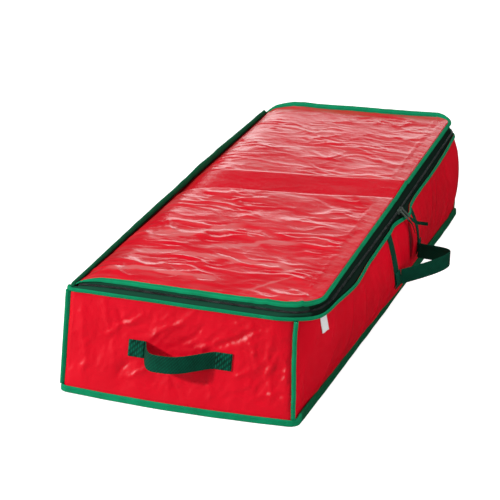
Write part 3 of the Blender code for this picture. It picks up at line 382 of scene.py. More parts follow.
def zip_curve(inset, side_x, near_corner, far_corner):
    """Plan points along the lid's three zipped edges, at an inset from the rim."""
    low = RIM_FRONT + inset + near_corner[1]
    near_x = float(side_x(low))
    far_x = float(side_x(LENGTH / 2 - inset - far_corner[1] - REAR_LEAN_RIGHT))
    parts = []
    x = end_stations(near_x - near_corner[0])
    parts.append((x, RIM_FRONT + inset + end_taper(x)))
    dx, dy = corner_arc(1.5 * math.pi, near_corner)
    parts.append((near_x - near_corner[0] + dx, low + dy))
    high = rear_y(far_x, 1) - inset - far_corner[1]
    y = blend(low, high, np.arange(1, SIDE) / SIDE)
    parts.append((side_x(y), y))
    dx, dy = corner_arc(0.0, far_corner)
    x = far_x - far_corner[0] + dx
    parts.append((x, rear_y(x, 1) - inset - far_corner[1] + dy))
    x = end_stations(far_x - far_corner[0])[::-1]
    parts.append((x, rear_y(x, 1) - inset - end_taper(x)))
    return np.concatenate([np.stack(part, axis=1) for part in parts])


LID_CURVE = zip_curve(LID_INSET, lid_side_x, LID_NEAR_CORNER, LID_FAR_CORNER)


# Noise

class Noise:
    """Seeded gradient noise over the plane."""

    def __init__(self, seed):
        angle = np.random.RandomState(seed).uniform(0, 2 * math.pi, (64, 64))
        self.gx = np.cos(angle)
        self.gy = np.sin(angle)

    def __call__(self, x, y):
        x, y = np.broadcast_arrays(np.asarray(x, float), np.asarray(y, float))
        i = np.floor(x).astype(int)
        j = np.floor(y).astype(int)
        fx = x - i
        fy = y - j

        def corner(di, dj):
            a = (i + di) % 64
            b = (j + dj) % 64
            return self.gx[a, b] * (fx - di) + self.gy[a, b] * (fy - dj)

        u = fx**3 * (fx * (fx * 6 - 15) + 10)
        v = fy**3 * (fy * (fy * 6 - 15) + 10)
        low = blend(corner(0, 0), corner(1, 0), u)
        high = blend(corner(0, 1), corner(1, 1), u)
        return 1.5 * blend(low, high, v)


NOISES = [Noise(seed) for seed in range(40, 64)]


def crease(noise, x, y, sharp=2.0):
    """Narrow ridges along the noise's zero lines, from 0 to 1."""
    return np.maximum(0.0, 1 - np.abs(noise(x, y)) * 2.6) ** sharp


def lid_bands(x, y):
    """Masks of the lid's smooth middle band and of the strips along its zipped side."""
    near = y - (BAND_NEAR[0] + BAND_NEAR[1] * x)
    far = y - (BAND_FAR[0] + BAND_FAR[1] * x)
    band = smooth(-0.004, 0.003, near) * (1 - smooth(-0.003, 0.004, far))
    width = np.interp(y, (-0.47, -0.25, 0.10, 0.45), (0.020, 0.022, 0.028, 0.014))
    strip = smooth(-0.0015, 0.0015, x - (lid_side_x(y) - width)) * (1 - band)
    return band, strip


def lid_relief(x, y):
    """Wrinkles and slumps of the lid: heights in metres times noise over lengths in metres."""
    band, strip = lid_bands(x, y)
    n = NOISES
    warp = 0.024 * n[0](x / 0.10, y / 0.10) + 0.010 * n[1](x / 0.040, y / 0.05)
    yy = y + warp + 0.10 * x
    near = smooth(0.06, -0.05, y)
    patch = smooth(-0.30, 0.40, n[11](x / 0.11 + 5.0, y / 0.065))
    lively = blend(0.25, 1.0, patch)
    waves = 0.0015 * n[2](x / 0.15, yy / 0.065)
    creases = 0.0020 * crease(n[3], x / 0.11 + 3.1, yy / 0.046, 2.2) * lively
    fine = 0.00055 * n[4](x / 0.055, yy / 0.021) + 0.00085 * crease(n[5], x / 0.050, yy / 0.026, 2.2)
    tiny = 0.00010 * n[6](x / 0.018, yy / 0.008)
    slant = 0.0007 * crease(n[18], (x - 0.9 * y) / 0.060, (y + 0.5 * x) / 0.030, 2.4)
    body = waves * blend(0.7, 1.0, near) + creases * blend(0.55, 1.0, near) + (fine + slant) * lively + tiny
    calm = 0.00030 * n[7](x / 0.09, y / 0.04) + 0.00015 * crease(n[8], x / 0.12, yy / 0.03)
    cross = 0.00030 * n[9](x / 0.03, (y + 0.5 * x) / 0.0055) + 0.0005 * n[10](x / 0.1, y / 0.03)
    ridges = 0.0006 * hump(x, lid_side_x(y) - 0.024, 0.0022) * (1 - band)
    seam = -0.0006 * hump(x - LID_LEFT, 0.010 + 0.001 * n[12](y / 0.08, 2.0), 0.0012)
    relief = body * (1 - band) * (1 - strip) + calm * band + cross * strip + ridges
    edge = np.minimum(smooth(0.0, 0.014, lid_side_x(y) - x) + 0.25, 1.0)
    left = blend(0.55, 1.0, smooth(0.0, 0.018, x - LID_LEFT))
    slump = -0.0020 * smooth(0.0, 0.12, x - LID_LEFT) * smooth(0.0, 0.12, lid_side_x(y) - x)
    tilt = 0.0022 * band * (y - 0.045) / 0.05
    return relief * edge * left + slump + tilt + seam


# Ribbons of painted sheen on the lid: width, and the course (x, y)
LID_SHEEN_RIBBONS = (
    (0.024, ((-0.147, -0.384), (-0.120, -0.353), (-0.076, -0.340), (-0.007, -0.339), (0.082, -0.344),
             (0.134, -0.349))),
    (0.020, ((-0.146, -0.440), (-0.080, -0.428), (-0.011, -0.430), (0.039, -0.429))),
    (0.024, ((-0.044, -0.306), (0.003, -0.285), (0.052, -0.245), (0.103, -0.239))),
    (0.042, ((-0.137, -0.280), (-0.074, -0.254), (-0.050, -0.231), (-0.001, -0.187))),
    (0.014, ((0.073, -0.472), (0.105, -0.414), (0.136, -0.378))))


def lid_sheen_ribbons(x, y):
    """Mask of the broad ribbons of painted sheen on the near part of the lid."""
    total = np.zeros_like(x)
    for wide, course in LID_SHEEN_RIBBONS:
        across, along = zip(*course)
        away = np.abs(y - np.interp(x, across, along) - 0.004 * NOISES[16](x / 0.03, y / 0.05))
        ragged = wide / 2 * (1 + 0.7 * NOISES[17](x / 0.035, y / 0.012))
        ends = smooth(across[0] - 0.01, across[0] + 0.03, x) * smooth(across[-1] + 0.01, across[-1] - 0.03, x)
        total = np.maximum(total, smooth(1.0, 0.6, away / ragged) * ends)
    return total


def lid_painted_sheen(x, y):
    """Share of painted sheen, a painted milky reflection where the clear pockets press against the lid."""
    band, strip = lid_bands(x, y)
    far = smooth(-0.30, 0.22, y)
    cloud = smooth(-0.35, 0.35, NOISES[13](x / 0.10, y / 0.07))
    streak = smooth(-0.30, 0.40, NOISES[14](x / 0.07, (y + 0.1 * x) / 0.014))
    step = 0.0006
    tilt = (lid_relief(x, y - step) - lid_relief(x, y + step)) / (2 * step)
    # Painted highlight on the crests that tilt towards the far end, where the back lamp would show in them
    crest = smooth(0.03, 0.22, tilt) * cloud
    body = blend(0.16, 0.36, far) * blend(0.35, 1.2, cloud) * blend(0.35, 1.25, streak) + 0.26 * crest
    lines = smooth(0.02, 0.30, np.abs(NOISES[15](x / 0.030, (y + 0.5 * x) / 0.006)))
    fade = blend(0.25, 0.60, smooth(-0.45, 0.10, y))
    inside = smooth(0.004, 0.014, x - LID_LEFT)
    body = np.maximum(body, 0.74 * lid_sheen_ribbons(x, y))
    return (body * (1 - strip) + strip * lines * fade) * (1 - band) * inside


def lid_top(x, y):
    return lid_height(x, y) + lid_relief(x, y)


# Meshes

MATERIALS = {}


def link_object(name, data):
    item = bpy.data.objects.new(name, data)
    bpy.context.scene.collection.objects.link(item)
    return item


def finish_piece(piece, material, nodes, body):
    """Dress a piece, hide the CAD nodes that it stands for, and hang it on the body that it rides on."""
    piece.data.materials.append(MATERIALS[material])
    for node in nodes.split():
        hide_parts(node)
    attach(piece, body)
    return piece


def link_mesh(name, verts, faces, uvs, extra=None):
    """New smooth piece; extra is the points and faces of loose closed bits, such as stitches."""
    if extra is not None:
        faces = faces + [[len(verts) + k for k in face] for face in extra[1]]
        verts = np.concatenate([verts, extra[0]])
        uvs = np.concatenate([uvs, np.zeros((len(extra[0]), 2))])
    mesh = bpy.data.meshes.new(name)
    mesh.from_pydata(verts.tolist(), [], faces)
    mesh.validate()
    mesh.polygons.foreach_set("use_smooth", [True] * len(mesh.polygons))
    index = np.empty(len(mesh.loops), int)
    mesh.loops.foreach_get("vertex_index", index)
    mesh.uv_layers.new(name="metres").data.foreach_set("uv", uvs[index].ravel())
    mesh.update()
    return link_object(name, mesh)


def grid_faces(rows, columns, start=0, flip=False, wrap=False):
    i, j = np.meshgrid(np.arange(rows - 1), np.arange(columns if wrap else columns - 1), indexing="ij")
    after = (j + 1) % columns
    a = start + i * columns + j
    b = start + i * columns + after
    faces = np.stack([a, b, b + columns, a + columns], axis=-1).reshape(-1, 4)
    return (faces[:, ::-1] if flip else faces).tolist()


def sheet(name, outer, inner, uvs):
    """Closed sheet between two grids of points; outer faces the way across x down points."""
    rows, columns = outer.shape[:2]
    size = rows * columns
    index = np.arange(size).reshape(rows, columns)
    border = np.concatenate([index[0, :-1], index[:-1, -1], index[-1, :0:-1], index[:0:-1, 0]])
    after = np.roll(border, -1)
    faces = grid_faces(rows, columns) + grid_faces(rows, columns, size, flip=True)
    faces += np.stack([after, border, border + size, after + size], axis=1).tolist()
    verts = np.concatenate([outer.reshape(-1, 3), inner.reshape(-1, 3)])
    return link_mesh(name, verts, faces, np.concatenate([uvs.reshape(-1, 2)] * 2))


def run_lengths(points):
    steps = np.linalg.norm(np.diff(points, axis=0), axis=1)
    return np.concatenate([[0.0], np.cumsum(steps)])


def at_places(places, run, values):
    """Points or vectors at places along a run."""
    return np.stack([np.interp(places, run, values[:, k]) for k in range(3)], axis=1)


def tube(name, sections, closed=False, extra=None):
    """Closed solid through an array of sections (stations, profile points, 3)."""
    stations, count = sections.shape[:2]
    along = run_lengths(sections.mean(axis=1))
    around = run_lengths(sections[0])
    uvs = np.stack(np.meshgrid(along, around, indexing="ij"), axis=-1).reshape(-1, 2)
    faces = grid_faces(stations, count, wrap=True, flip=True)
    first = np.arange(count)
    last = first + (stations - 1) * count
    if closed:
        faces += np.stack([last, first, np.roll(first, -1), np.roll(last, -1)], axis=1).tolist()
    else:
        faces += [first.tolist(), last[::-1].tolist()]
    return link_mesh(name, sections.reshape(-1, 3), faces, uvs, extra)


def repeated(pattern, count, times):
    """Faces of a row of small alike solids, from those of one."""
    return [[k * count + v for v in face] for k in range(times) for face in pattern]


def joined(solids):
    """Points and faces of several solids as one."""
    verts = np.zeros((0, 3))
    faces = []
    for more, added in solids:
        faces += [[len(verts) + k for k in face] for face in added]
        verts = np.concatenate([verts, more])
    return verts, faces


STITCH_TALL = 0.0003
STITCH_FACES = ((0, 2, 4), (2, 1, 4), (1, 3, 4), (3, 0, 4), (2, 0, 5), (1, 2, 5), (3, 1, 5), (0, 3, 5))


def stitches(points, normals, pitch=0.0032, length=0.0024, wide=0.00045):
    """Small raised stitches along a run of points, laid on a surface."""
    run = run_lengths(points)
    places = np.arange(pitch / 2, run[-1] - pitch / 2, pitch)
    centre = at_places(places, run, points)
    along = unit(at_places(places + length / 2, run, points) - centre)
    normal = unit(at_places(places, run, normals))
    side = np.cross(normal, along) * wide
    half = along * length / 2
    rise = normal * STITCH_TALL
    verts = np.stack([centre - half, centre + half, centre + side, centre - side,
                      centre + rise, centre - rise], axis=1)
    return verts.reshape(-1, 3), repeated(STITCH_FACES, 6, len(places))


# Node materials

def new_material(key, name):
    material = bpy.data.materials.new(name)
    material.use_nodes = True
    MATERIALS[key] = material
    return material.node_tree, material.node_tree.nodes["Principled BSDF"]


def feed(tree, node, inputs):
    """Set a node's inputs, or link those that another node gives."""
    for key, value in inputs.items():
        if isinstance(value, bpy.types.NodeSocket):
            tree.links.new(value, node.inputs[key])
        else:
            node.inputs[key].default_value = value


def add(tree, kind, inputs, **settings):
    node = tree.nodes.new("ShaderNode" + kind)
    for key, value in settings.items():
        setattr(node, key, value)
    feed(tree, node, inputs)
    return node.outputs


def maths(tree, operation, *values, clamp=False):
    return add(tree, "Math", dict(enumerate(values)), operation=operation, use_clamp=clamp)[0]


def ramp(tree, source, stops):
    mixed = add(tree, "ValToRGB", {"Fac": source})["Color"]
    elements = mixed.node.color_ramp.elements
    while len(elements) < len(stops):
        elements.new(0.5)
    for element, (place, colour) in zip(elements, stops):
        element.position = place
        element.color = (*colour, 1.0)
    return mixed


def noise_value(tree, vector, scale, detail=4.0, rough=0.55, distortion=0.0):
    inputs = {"Vector": vector, "Scale": scale, "Detail": detail, "Roughness": rough,
              "Distortion": distortion}
    return add(tree, "TexNoise", inputs)["Fac"]


def object_vector(tree, scale=(1.0, 1.0, 1.0), kind="Object"):
    return add(tree, "Mapping", {"Vector": add(tree, "TexCoord", {})[kind], "Scale": scale})["Vector"]


def wave_value(tree, vector, direction, period):
    """Rounded ribs of a period in metres, from 0 to 1."""
    inputs = {"Vector": vector, "Scale": 1.0 / period * math.tau / 20.0, "Distortion": 0.0}
    return add(tree, "TexWave", inputs, bands_direction=direction)["Fac"]


def bumps(tree, shader, *layers):
    """Bump layers one over another, each a height, its distance and its strength."""
    below = {}
    for height, distance, strength in layers:
        inputs = {"Height": height, "Distance": distance, "Strength": strength}
        below = {"Normal": add(tree, "Bump", {**inputs, **below})["Normal"]}
    feed(tree, shader, below)


TARP_COLOURS = ((0.25, (0.68, 0.0015, 0.013)), (0.5, (0.76, 0.0020, 0.016)), (0.8, (0.82, 0.0030, 0.020)))
# Masks painted in the meshes: name, strength, and the colour that each brings; the first is painted sheen,
# pale pink highlights, the second painted shade, near black in the deep fold
TARP_MASKS = (("painted_sheen", 0.9, (0.80, 0.20, 0.20, 1.0)), ("shade", 0.97, (0.010, 0.0, 0.001, 1.0)))
TARP_WEAVE = 0.0019


def tarp_material(key, name, specular, smoothest, crinkled):
    """Laminated woven plastic, with the sheen and shade painted in the mesh."""
    tree, shader = new_material(key, name)
    vector = object_vector(tree)
    flat = object_vector(tree, kind="UV")
    colour = ramp(tree, noise_value(tree, vector, 9.0, 5.0), TARP_COLOURS)
    for mask, share, other in TARP_MASKS:
        painted = add(tree, "Attribute", {}, attribute_name=mask)["Fac"]
        inputs = {"Factor": maths(tree, "MULTIPLY", painted, share), "A": colour, "B": other}
        colour = add(tree, "Mix", inputs, data_type="RGBA")["Result"]
    rough = maths(tree, "MULTIPLY_ADD", noise_value(tree, vector, 60.0, 3.0), 0.10, smoothest)
    feed(tree, shader, {"Base Color": colour, "Specular IOR Level": specular, "Roughness": rough})
    weave = maths(tree, "MULTIPLY", *(wave_value(tree, flat, way, TARP_WEAVE) for way in "XY"))
    bumps(tree, shader, (weave, 0.00004, 0.15),
          (noise_value(tree, vector, 220.0, 6.0, 0.65, 0.6), 0.0003, 0.5 * crinkled),
          (noise_value(tree, vector, 75.0, 4.0, 0.6, 1.2), 0.0008, 0.4 * crinkled))


def tape_material(key, name, dark, light, rough, specular, period=0.0011, way="Y"):
    """Woven tape or webbing."""
    tree, shader = new_material(key, name)
    vector = object_vector(tree)
    flat = object_vector(tree, kind="UV")
    ribs = wave_value(tree, flat, "X", period)
    weave = maths(tree, "MULTIPLY", ribs, wave_value(tree, flat, way, period * 1.3))
    cloud = noise_value(tree, vector, 45.0, 4.0)
    mixed = maths(tree, "ADD", maths(tree, "MULTIPLY", weave, 0.45), maths(tree, "MULTIPLY", cloud, 0.6))
    feed(tree, shader, {"Base Color": ramp(tree, mixed, [(0.15, dark), (0.75, light)]), "Roughness": rough,
                        "Specular IOR Level": specular})
    bumps(tree, shader, (weave, 0.0002, 0.7), (noise_value(tree, vector, 160.0, 5.0), 0.0005, 0.5))


def zip_material(key, name, dark, middle, light):
    """Woven tape with long lines, darkest beside the coil."""
    tree, shader = new_material(key, name)
    long = noise_value(tree, object_vector(tree, (5.0, 210.0, 1.0), "UV"), 1.0, 3.0, 0.6)
    speck = noise_value(tree, object_vector(tree, kind="UV"), 260.0, 2.0)
    across = add(tree, "SeparateXYZ", {0: object_vector(tree, (1.0, 110.0, 1.0), "UV")})["Y"]
    edge = maths(tree, "MULTIPLY_ADD", maths(tree, "MULTIPLY", across, 1.0, clamp=True), 0.22, -0.14)
    mixed = maths(tree, "ADD", maths(tree, "ADD", long, edge), maths(tree, "MULTIPLY_ADD", speck, 0.12))
    colour = ramp(tree, mixed, [(0.45, dark), (0.54, middle), (0.64, light)])
    feed(tree, shader, {"Base Color": colour, "Roughness": 0.8, "Specular IOR Level": 0.05})
    bumps(tree, shader, (long, 0.0006, 0.7))


def plain_material(key, name, colour, rough, metal, grain, deep, vary):
    """Moulded or coated material with a fine grain and small changes of colour and gloss."""
    tree, shader = new_material(key, name)
    vector = object_vector(tree)
    dark = tuple(c * (1 - vary) for c in colour)
    light = tuple(min(1.0, c * (1 + vary)) for c in colour)
    colour = ramp(tree, noise_value(tree, vector, 120.0, 4.0), [(0.3, dark), (0.7, light)])
    gloss = maths(tree, "MULTIPLY_ADD", noise_value(tree, vector, 300.0, 3.0), 0.2, rough - 0.1)
    feed(tree, shader, {"Base Color": colour, "Metallic": metal, "Roughness": gloss})
    bumps(tree, shader, (noise_value(tree, vector, grain, 3.0), deep, 0.5))


def vinyl_material():
    tree, shader = new_material("vinyl", "clear_vinyl")
    vector = object_vector(tree)
    gloss = maths(tree, "MULTIPLY_ADD", noise_value(tree, vector, 30.0, 3.0), 0.15, 0.08)
    feed(tree, shader, {"Base Color": (0.9, 0.9, 0.92, 1.0), "Alpha": 0.22, "Roughness": gloss})
    bumps(tree, shader, (noise_value(tree, vector, 24.0, 3.0, 0.5, 0.8), 0.004, 0.4))


# Key, name, specular, smoothest, crinkled
TARPS = (("tarp", "red_tarp", 0.16, 0.30, 1.0),
         ("side_tarp", "red_side_tarp", 0.06, 0.32, 0.15),
         ("lid_tarp", "red_lid_tarp", 0.42, 0.16, 0.6))
# Key, name, dark, light, rough, specular, rib period, way of the cross ribs; shade_binding is a darker copy
# of the binding, for painted shade
TAPES = (("binding", "green_binding", (0.0, 0.185, 0.074), (0.0, 0.36, 0.155), 0.7, 0.12),
         ("shade_binding", "green_binding_side", (0.0, 0.075, 0.030), (0.0, 0.17, 0.066), 0.7, 0.12),
         ("webbing", "green_webbing", (0.0, 0.030, 0.016), (0.0, 0.095, 0.052), 0.85, 0.12, 0.0020,
          "DIAGONAL"),
         ("sewn_webbing", "green_sewn_webbing", (0.0, 0.010, 0.005), (0.0, 0.15, 0.085), 0.85, 0.12, 0.0034,
          "DIAGONAL"),
         ("label", "white_label", (0.88, 0.88, 0.88), (0.97, 0.97, 0.97), 0.7, 0.3, 0.0009))
# Key, name, dark, middle, light; shade_zip_tape is a darker copy, for painted shade on the opening side
ZIP_TAPES = (("zip_tape", "zip_tape_green", (0.0002, 0.002, 0.0014), (0.0013, 0.015, 0.009),
              (0.010, 0.070, 0.040)),
             ("shade_zip_tape", "zip_tape_side", (0.0002, 0.001, 0.001), (0.0005, 0.003, 0.002),
              (0.006, 0.018, 0.012)))
# Key, name, colour, rough, metal, grain, depth of the grain, change of colour
PLAINS = (("coil", "zip_coil_black", (0.020, 0.026, 0.024), 0.35, 0.0, 900.0, 0.0001, 0.95),
          ("metal", "dark_metal", (0.11, 0.14, 0.12), 0.42, 0.25, 700.0, 0.00006, 0.3))


def make_materials():
    for make, table in ((tarp_material, TARPS), (tape_material, TAPES), (zip_material, ZIP_TAPES),
                        (plain_material, PLAINS)):
        for look in table:
            make(*look)
    vinyl_material()


# Walls

def wall_grid(start, end):
    """Rows of points up a wall between two seams."""
    if end < start:
        end += RING_COUNT
    index = np.arange(start, end + 1) % RING_COUNT
    return np.array([lift(ring(z)[index], z) for z in np.linspace(PANEL + GAP, RIM_HEIGHT, WALL_ROWS)])


# Folds of the near wall: two ends (x, z), half width, height
FRONT_FOLDS = ((-0.115, 0.095, -0.062, 0.128, 0.0045, 0.0034), (-0.040, 0.102, 0.020, 0.147, 0.0055, 0.0038),
               (0.030, 0.094, 0.075, 0.114, 0.0035, 0.0026), (0.060, 0.102, 0.112, 0.133, 0.0035, -0.0034),
               (0.078, 0.136, 0.106, 0.149, 0.0040, 0.0024), (-0.074, 0.037, -0.050, 0.052, 0.0040, 0.0026),
               (0.084, 0.064, 0.106, 0.067, 0.0038, 0.0022), (0.098, 0.142, 0.116, 0.080, 0.0080, 0.0036),
               (-0.125, 0.146, -0.113, 0.108, 0.0060, 0.0028), (-0.155, 0.135, -0.144, 0.028, 0.0100, 0.0030),
               (-0.090, 0.043, -0.071, 0.061, 0.0050, -0.0026), (0.002, 0.096, 0.033, 0.125, 0.0060, -0.0026),
               (0.132, 0.128, 0.136, 0.040, 0.0070, 0.0032), (-0.034, 0.119, -0.018, 0.142, 0.0045, 0.0022),
               (-0.100, 0.140, -0.090, 0.112, 0.0050, -0.0024), (0.045, 0.060, 0.052, 0.022, 0.0060, 0.0026),
               (-0.010, 0.040, 0.004, 0.018, 0.0060, -0.0022), (0.148, 0.100, 0.126, 0.060, 0.0045, 0.0024))


def drawn_folds(x, z):
    total = np.zeros_like(x)
    for x0, z0, x1, z1, wide, tall in FRONT_FOLDS:
        length = math.hypot(x1 - x0, z1 - z0)
        ux, uz = (x1 - x0) / length, (z1 - z0) / length
        along = ((x - x0) * ux + (z - z0) * uz) / length
        away = (z - z0) * ux - (x - x0) * uz
        ends = smooth(-0.30, 0.15, along) * (1 - smooth(0.85, 1.30, along))
        total = total + 0.8 * tall * np.exp(-np.abs(away / (0.72 * wide)) ** 1.2) * ends
    return total


def front_relief(x, z):
    """Creases of an end wall: diagonal above the handle, upright below and at the right."""
    n = NOISES
    xw = x + 0.006 * n[11](x / 0.05, z / 0.04) + 0.0025 * n[10](x / 0.016, z / 0.014)
    zw = z + 0.006 * n[12](x / 0.05, z / 0.05) + 0.0025 * n[9](x / 0.018, z / 0.013)
    a = xw * 0.82 + zw * 0.57
    b = -xw * 0.57 + zw * 0.82
    upper = smooth(0.06, 0.10, z) * smooth(-0.15, -0.09, x)
    right = smooth(0.04, 0.12, x)
    low = 1 - smooth(0.05, 0.09, z)
    waves = 0.0018 * n[13](a / 0.13, b / 0.05)
    short = 0.0013 * crease(n[15], a / 0.040, b / 0.014, 2.2) * blend(0.3, 1.0, np.maximum(upper, right))
    upright = 0.0014 * n[16](xw / 0.026, zw / 0.10 + 4.0) * np.maximum(low, right)
    crisp = 0.0008 * crease(n[17], xw / 0.016, zw / 0.045, 2.0) * blend(0.4, 1.0, right)
    dents = 0.0005 * n[8](xw / 0.009, zw / 0.011) + 0.0004 * crease(n[6], a / 0.020, b / 0.006, 2.0)
    return waves + short + upright + crisp + dents + drawn_folds(xw, zw)


def side_relief(y, z):
    """Upright folds of a long wall."""
    n = NOISES
    yy = y + 0.012 * n[16](y / 0.12, z / 0.08) + 0.10 * (z - 0.08) * n[17](y / 0.2, 0.3)
    folds = 0.0026 * n[18](yy / 0.055, z / 0.20)
    creases = 0.0014 * crease(n[19], yy / 0.070, z / 0.18, 1.7)
    fine = 0.0003 * n[20](yy / 0.022, z / 0.06)
    return folds + creases + fine


def hold(z):
    """Wrinkles fade towards the bindings."""
    top = RIM_HEIGHT - RIM_DROP
    return blend(0.25, 1.0, smooth(BOTTOM_TALL, BOTTOM_TALL + 0.03, z) * (1 - smooth(top - 0.025, top, z)))


def slit_place(z):
    return SLIT[0] + (SLIT[1] - SLIT[0]) * (z - SLIT[2]) / (SLIT[3] - SLIT[2])


def slit(y, z, narrow=1.0):
    """Deep narrow fold between the two uprights of the opening side; its mask also carries the painted shade
    of the fold.
    """
    share = np.clip((z - SLIT[2]) / (SLIT[3] - SLIT[2]), 0.0, 1.0)
    wide = narrow * (0.0020 + 0.0095 * np.sin(math.pi * share ** 0.6) ** 0.7)
    inside = (z > SLIT[2] - 0.004) & (z < SLIT[3] + 0.004)
    return np.exp(-np.abs((y - slit_place(z)) / wide) ** 2.5) * inside


def beside(place, centre, spacing, height):
    """0 on the two sewn ends of a handle, 1 away from them."""
    half = WEB_WIDE / 2 + PATCH_EDGE
    aways = [np.maximum(np.abs(place - centre - side * spacing / 2) - half, height) for side in (-1, 1)]
    return np.minimum(*(smooth(0.0, 0.010, away) for away in aways))


def end_depth(x, z, folds):
    mask = beside(x, 0.0, HANDLE_SPACING, np.abs(z - HANDLE_HEIGHT) - WEB_WIDE / 2 - PATCH_EDGE)
    return (folds - 0.0006) * mask * hold(z)


def front_depth(x, z):
    return end_depth(x, z, front_relief(x, z))


def rear_depth(x, z):
    return end_depth(x, z, front_relief(-x + 0.7, z + 0.4))


def right_depth(y, z):
    mask = beside(y, SIDE_HANDLE_Y, SIDE_SPACING, HANDLE_HEIGHT - WEB_WIDE / 2 - z)
    away = np.maximum(np.abs(y - LABEL_Y) - LABEL_WIDE / 2, 0.11 - z)
    mask = np.minimum(mask, smooth(0.0, 0.008, away))
    pinch = 0.0020 * hump(y, slit_place(z), 0.012) - 0.008 * slit(y, z, 0.4)
    return ((side_relief(y, z) - 0.0010) * hold(z) + pinch) * mask


def left_depth(y, z):
    return (side_relief(-y + 0.4, z + 0.3) * 0.8 - 0.0006) * hold(z)


def paint(piece, name, values, inner=1.0):
    """Mask over both faces of a sheet, read by its material, with a share for the inner face."""
    outside = np.clip(values, 0.0, 1.0).ravel()
    layer = piece.data.attributes.new(name, "FLOAT", "POINT")
    layer.data.foreach_set("value", np.concatenate([outside, inner * outside]))


def make_wall(name, node, start, end, axis, relief, material="tarp", sheen=0.0, shade=None):
    """Cloth wall between two seams, with folds over the axis that it runs along, a painted sheen on the lit
    flanks of its folds, and painted shade where a mask is given.
    """
    base = wall_grid(start, end)
    place, height = base[..., axis], base[..., 2]
    normal = unit(np.cross(np.gradient(base, axis=1), np.gradient(base, axis=0)))
    centre = base.reshape(-1, 3).mean(axis=0)
    if ((base - centre) * normal).sum() < 0:
        normal = -normal
    along = np.array([run_lengths(row) for row in base])
    seam = np.minimum(smooth(0.0, 0.012, along), smooth(0.0, 0.012, along[:, -1:] - along))
    depth = relief(place, height) * blend(0.2, 1.0, seam)
    outer = base + normal * depth[..., None]
    inner = base + normal * (depth[..., None] - PANEL)
    piece = sheet(name, outer, inner, np.stack([along, height], axis=-1))
    rise_along = np.gradient(depth, axis=1) / np.gradient(along, axis=1)
    rise_up = np.gradient(depth, axis=0) / np.gradient(height, axis=0)
    # Painted highlight: pale sheen on the fold flanks that tilt up and back along the wall, as if lit by the
    # key lamp, broken into patches by noise
    lit = smooth(0.22, 0.50, 0.6 * rise_along - 0.8 * rise_up)
    cloud = smooth(-0.15, 0.30, NOISES[7](along / 0.010, height / 0.006))
    paint(piece, "painted_sheen", sheen * lit * cloud)
    # Painted shade: the deep fold is darkened in the colour, on the outer face only
    if shade is not None:
        paint(piece, "shade", shade(place, height), 0.0)
    finish_piece(piece, material, node, "box")


def make_walls():
    make_wall("front_wall", "front_end_panel", SEAM_FL, SEAM_FR, 0, front_depth, sheen=0.75)
    make_wall("right_wall", "right_side_panel", SEAM_FR, SEAM_RR, 1, right_depth, "side_tarp", shade=slit)
    make_wall("rear_wall", "rear_end_panel", SEAM_RR, SEAM_RL, 0, rear_depth, sheen=0.75)
    make_wall("left_wall", "left_side_panel", SEAM_RL, SEAM_FL, 1, left_depth)


def make_base():
    shares = np.linspace(0.02, 1.0, 24)[:, None]
    x, y = np.moveaxis(ring(0.0)[::3] * shares[..., None], -1, 0)
    rise = 0.0006 * np.abs(NOISES[21](x / 0.05, y / 0.06)) * (1 - shares ** 8)
    rows, count = x.shape
    size = rows * count
    verts = np.concatenate([np.stack([x, y, rise + PANEL], axis=-1), np.stack([x, y, 0 * x], axis=-1)])
    verts = verts.reshape(-1, 3)
    faces = grid_faces(rows, count, wrap=True, flip=True) + grid_faces(rows, count, size, wrap=True)
    first = np.arange(count)
    faces += [first.tolist(), (first[::-1] + size).tolist()]
    last = first + (rows - 1) * count
    after = np.roll(last, -1)
    faces += np.stack([last, last + size, after + size, after], axis=1).tolist()
    finish_piece(link_mesh("base_sheet", verts, faces, verts[:, :2]), "tarp", "bottom_panel", "box")


# Bindings

def rounded(points):
    """Profile with its corners rounded by corner cutting."""
    points = np.array(points, float)
    for _ in range(2):
        after = np.roll(points, -1, axis=0)
        points = np.stack([blend(points, after, 0.25), blend(points, after, 0.75)], axis=1).reshape(-1, 2)
    return points


def ring_sections(profile, count, noise, grow):
    """Sections along the wall outline of a (distance out, height) profile, and the way out."""
    columns = []
    for distance, height in profile:
        plan = ring(height)
        away = BINDING_GAP + (distance - BINDING_GAP) * grow
        columns.append(lift(plan[:count] + closed_normals(plan)[:count] * away[:, None], height))
    sections = np.stack(columns, axis=1)
    run = run_lengths(sections.mean(axis=1))
    out = lift(closed_normals(ring(profile[0][1]))[:count], 0.0)
    weight = smooth(0.0, 0.0015, profile[:, 0] - profile[:, 0].min())[None, :, None]
    shift = BINDING_WOBBLE * noise(run / 0.035, 0.5)[:, None, None]
    level = BINDING_WOBBLE * noise(run / 0.05, 7.5)[:, None, None]
    return sections + (out[:, None] * shift + UP * level) * weight, out


def outer_row(profile, height):
    """The profile's point on its outer face nearest a height."""
    return int(np.argmin(np.abs(profile[:, 1] - height) - profile[:, 0] * 3))


def bound_piece(name, sections, nodes, body, rows, closed=False, material="binding"):
    """Tape with rows of stitches, each row its points and the way off the tape."""
    piece = tube(name, sections, closed, joined(stitches(points, normals) for points, normals in rows))
    return finish_piece(piece, material, nodes, body)


def paint_side_shade(piece, material, from_x, to_y):
    """Painted shade: a darker copy of the material along the opening side, beyond an x and up to a y either
    way.
    """
    piece.data.materials.append(MATERIALS[material])
    for polygon in piece.data.polygons:
        x, y, _ = polygon.center
        if x > from_x and abs(y) < to_y:
            polygon.material_index = 1


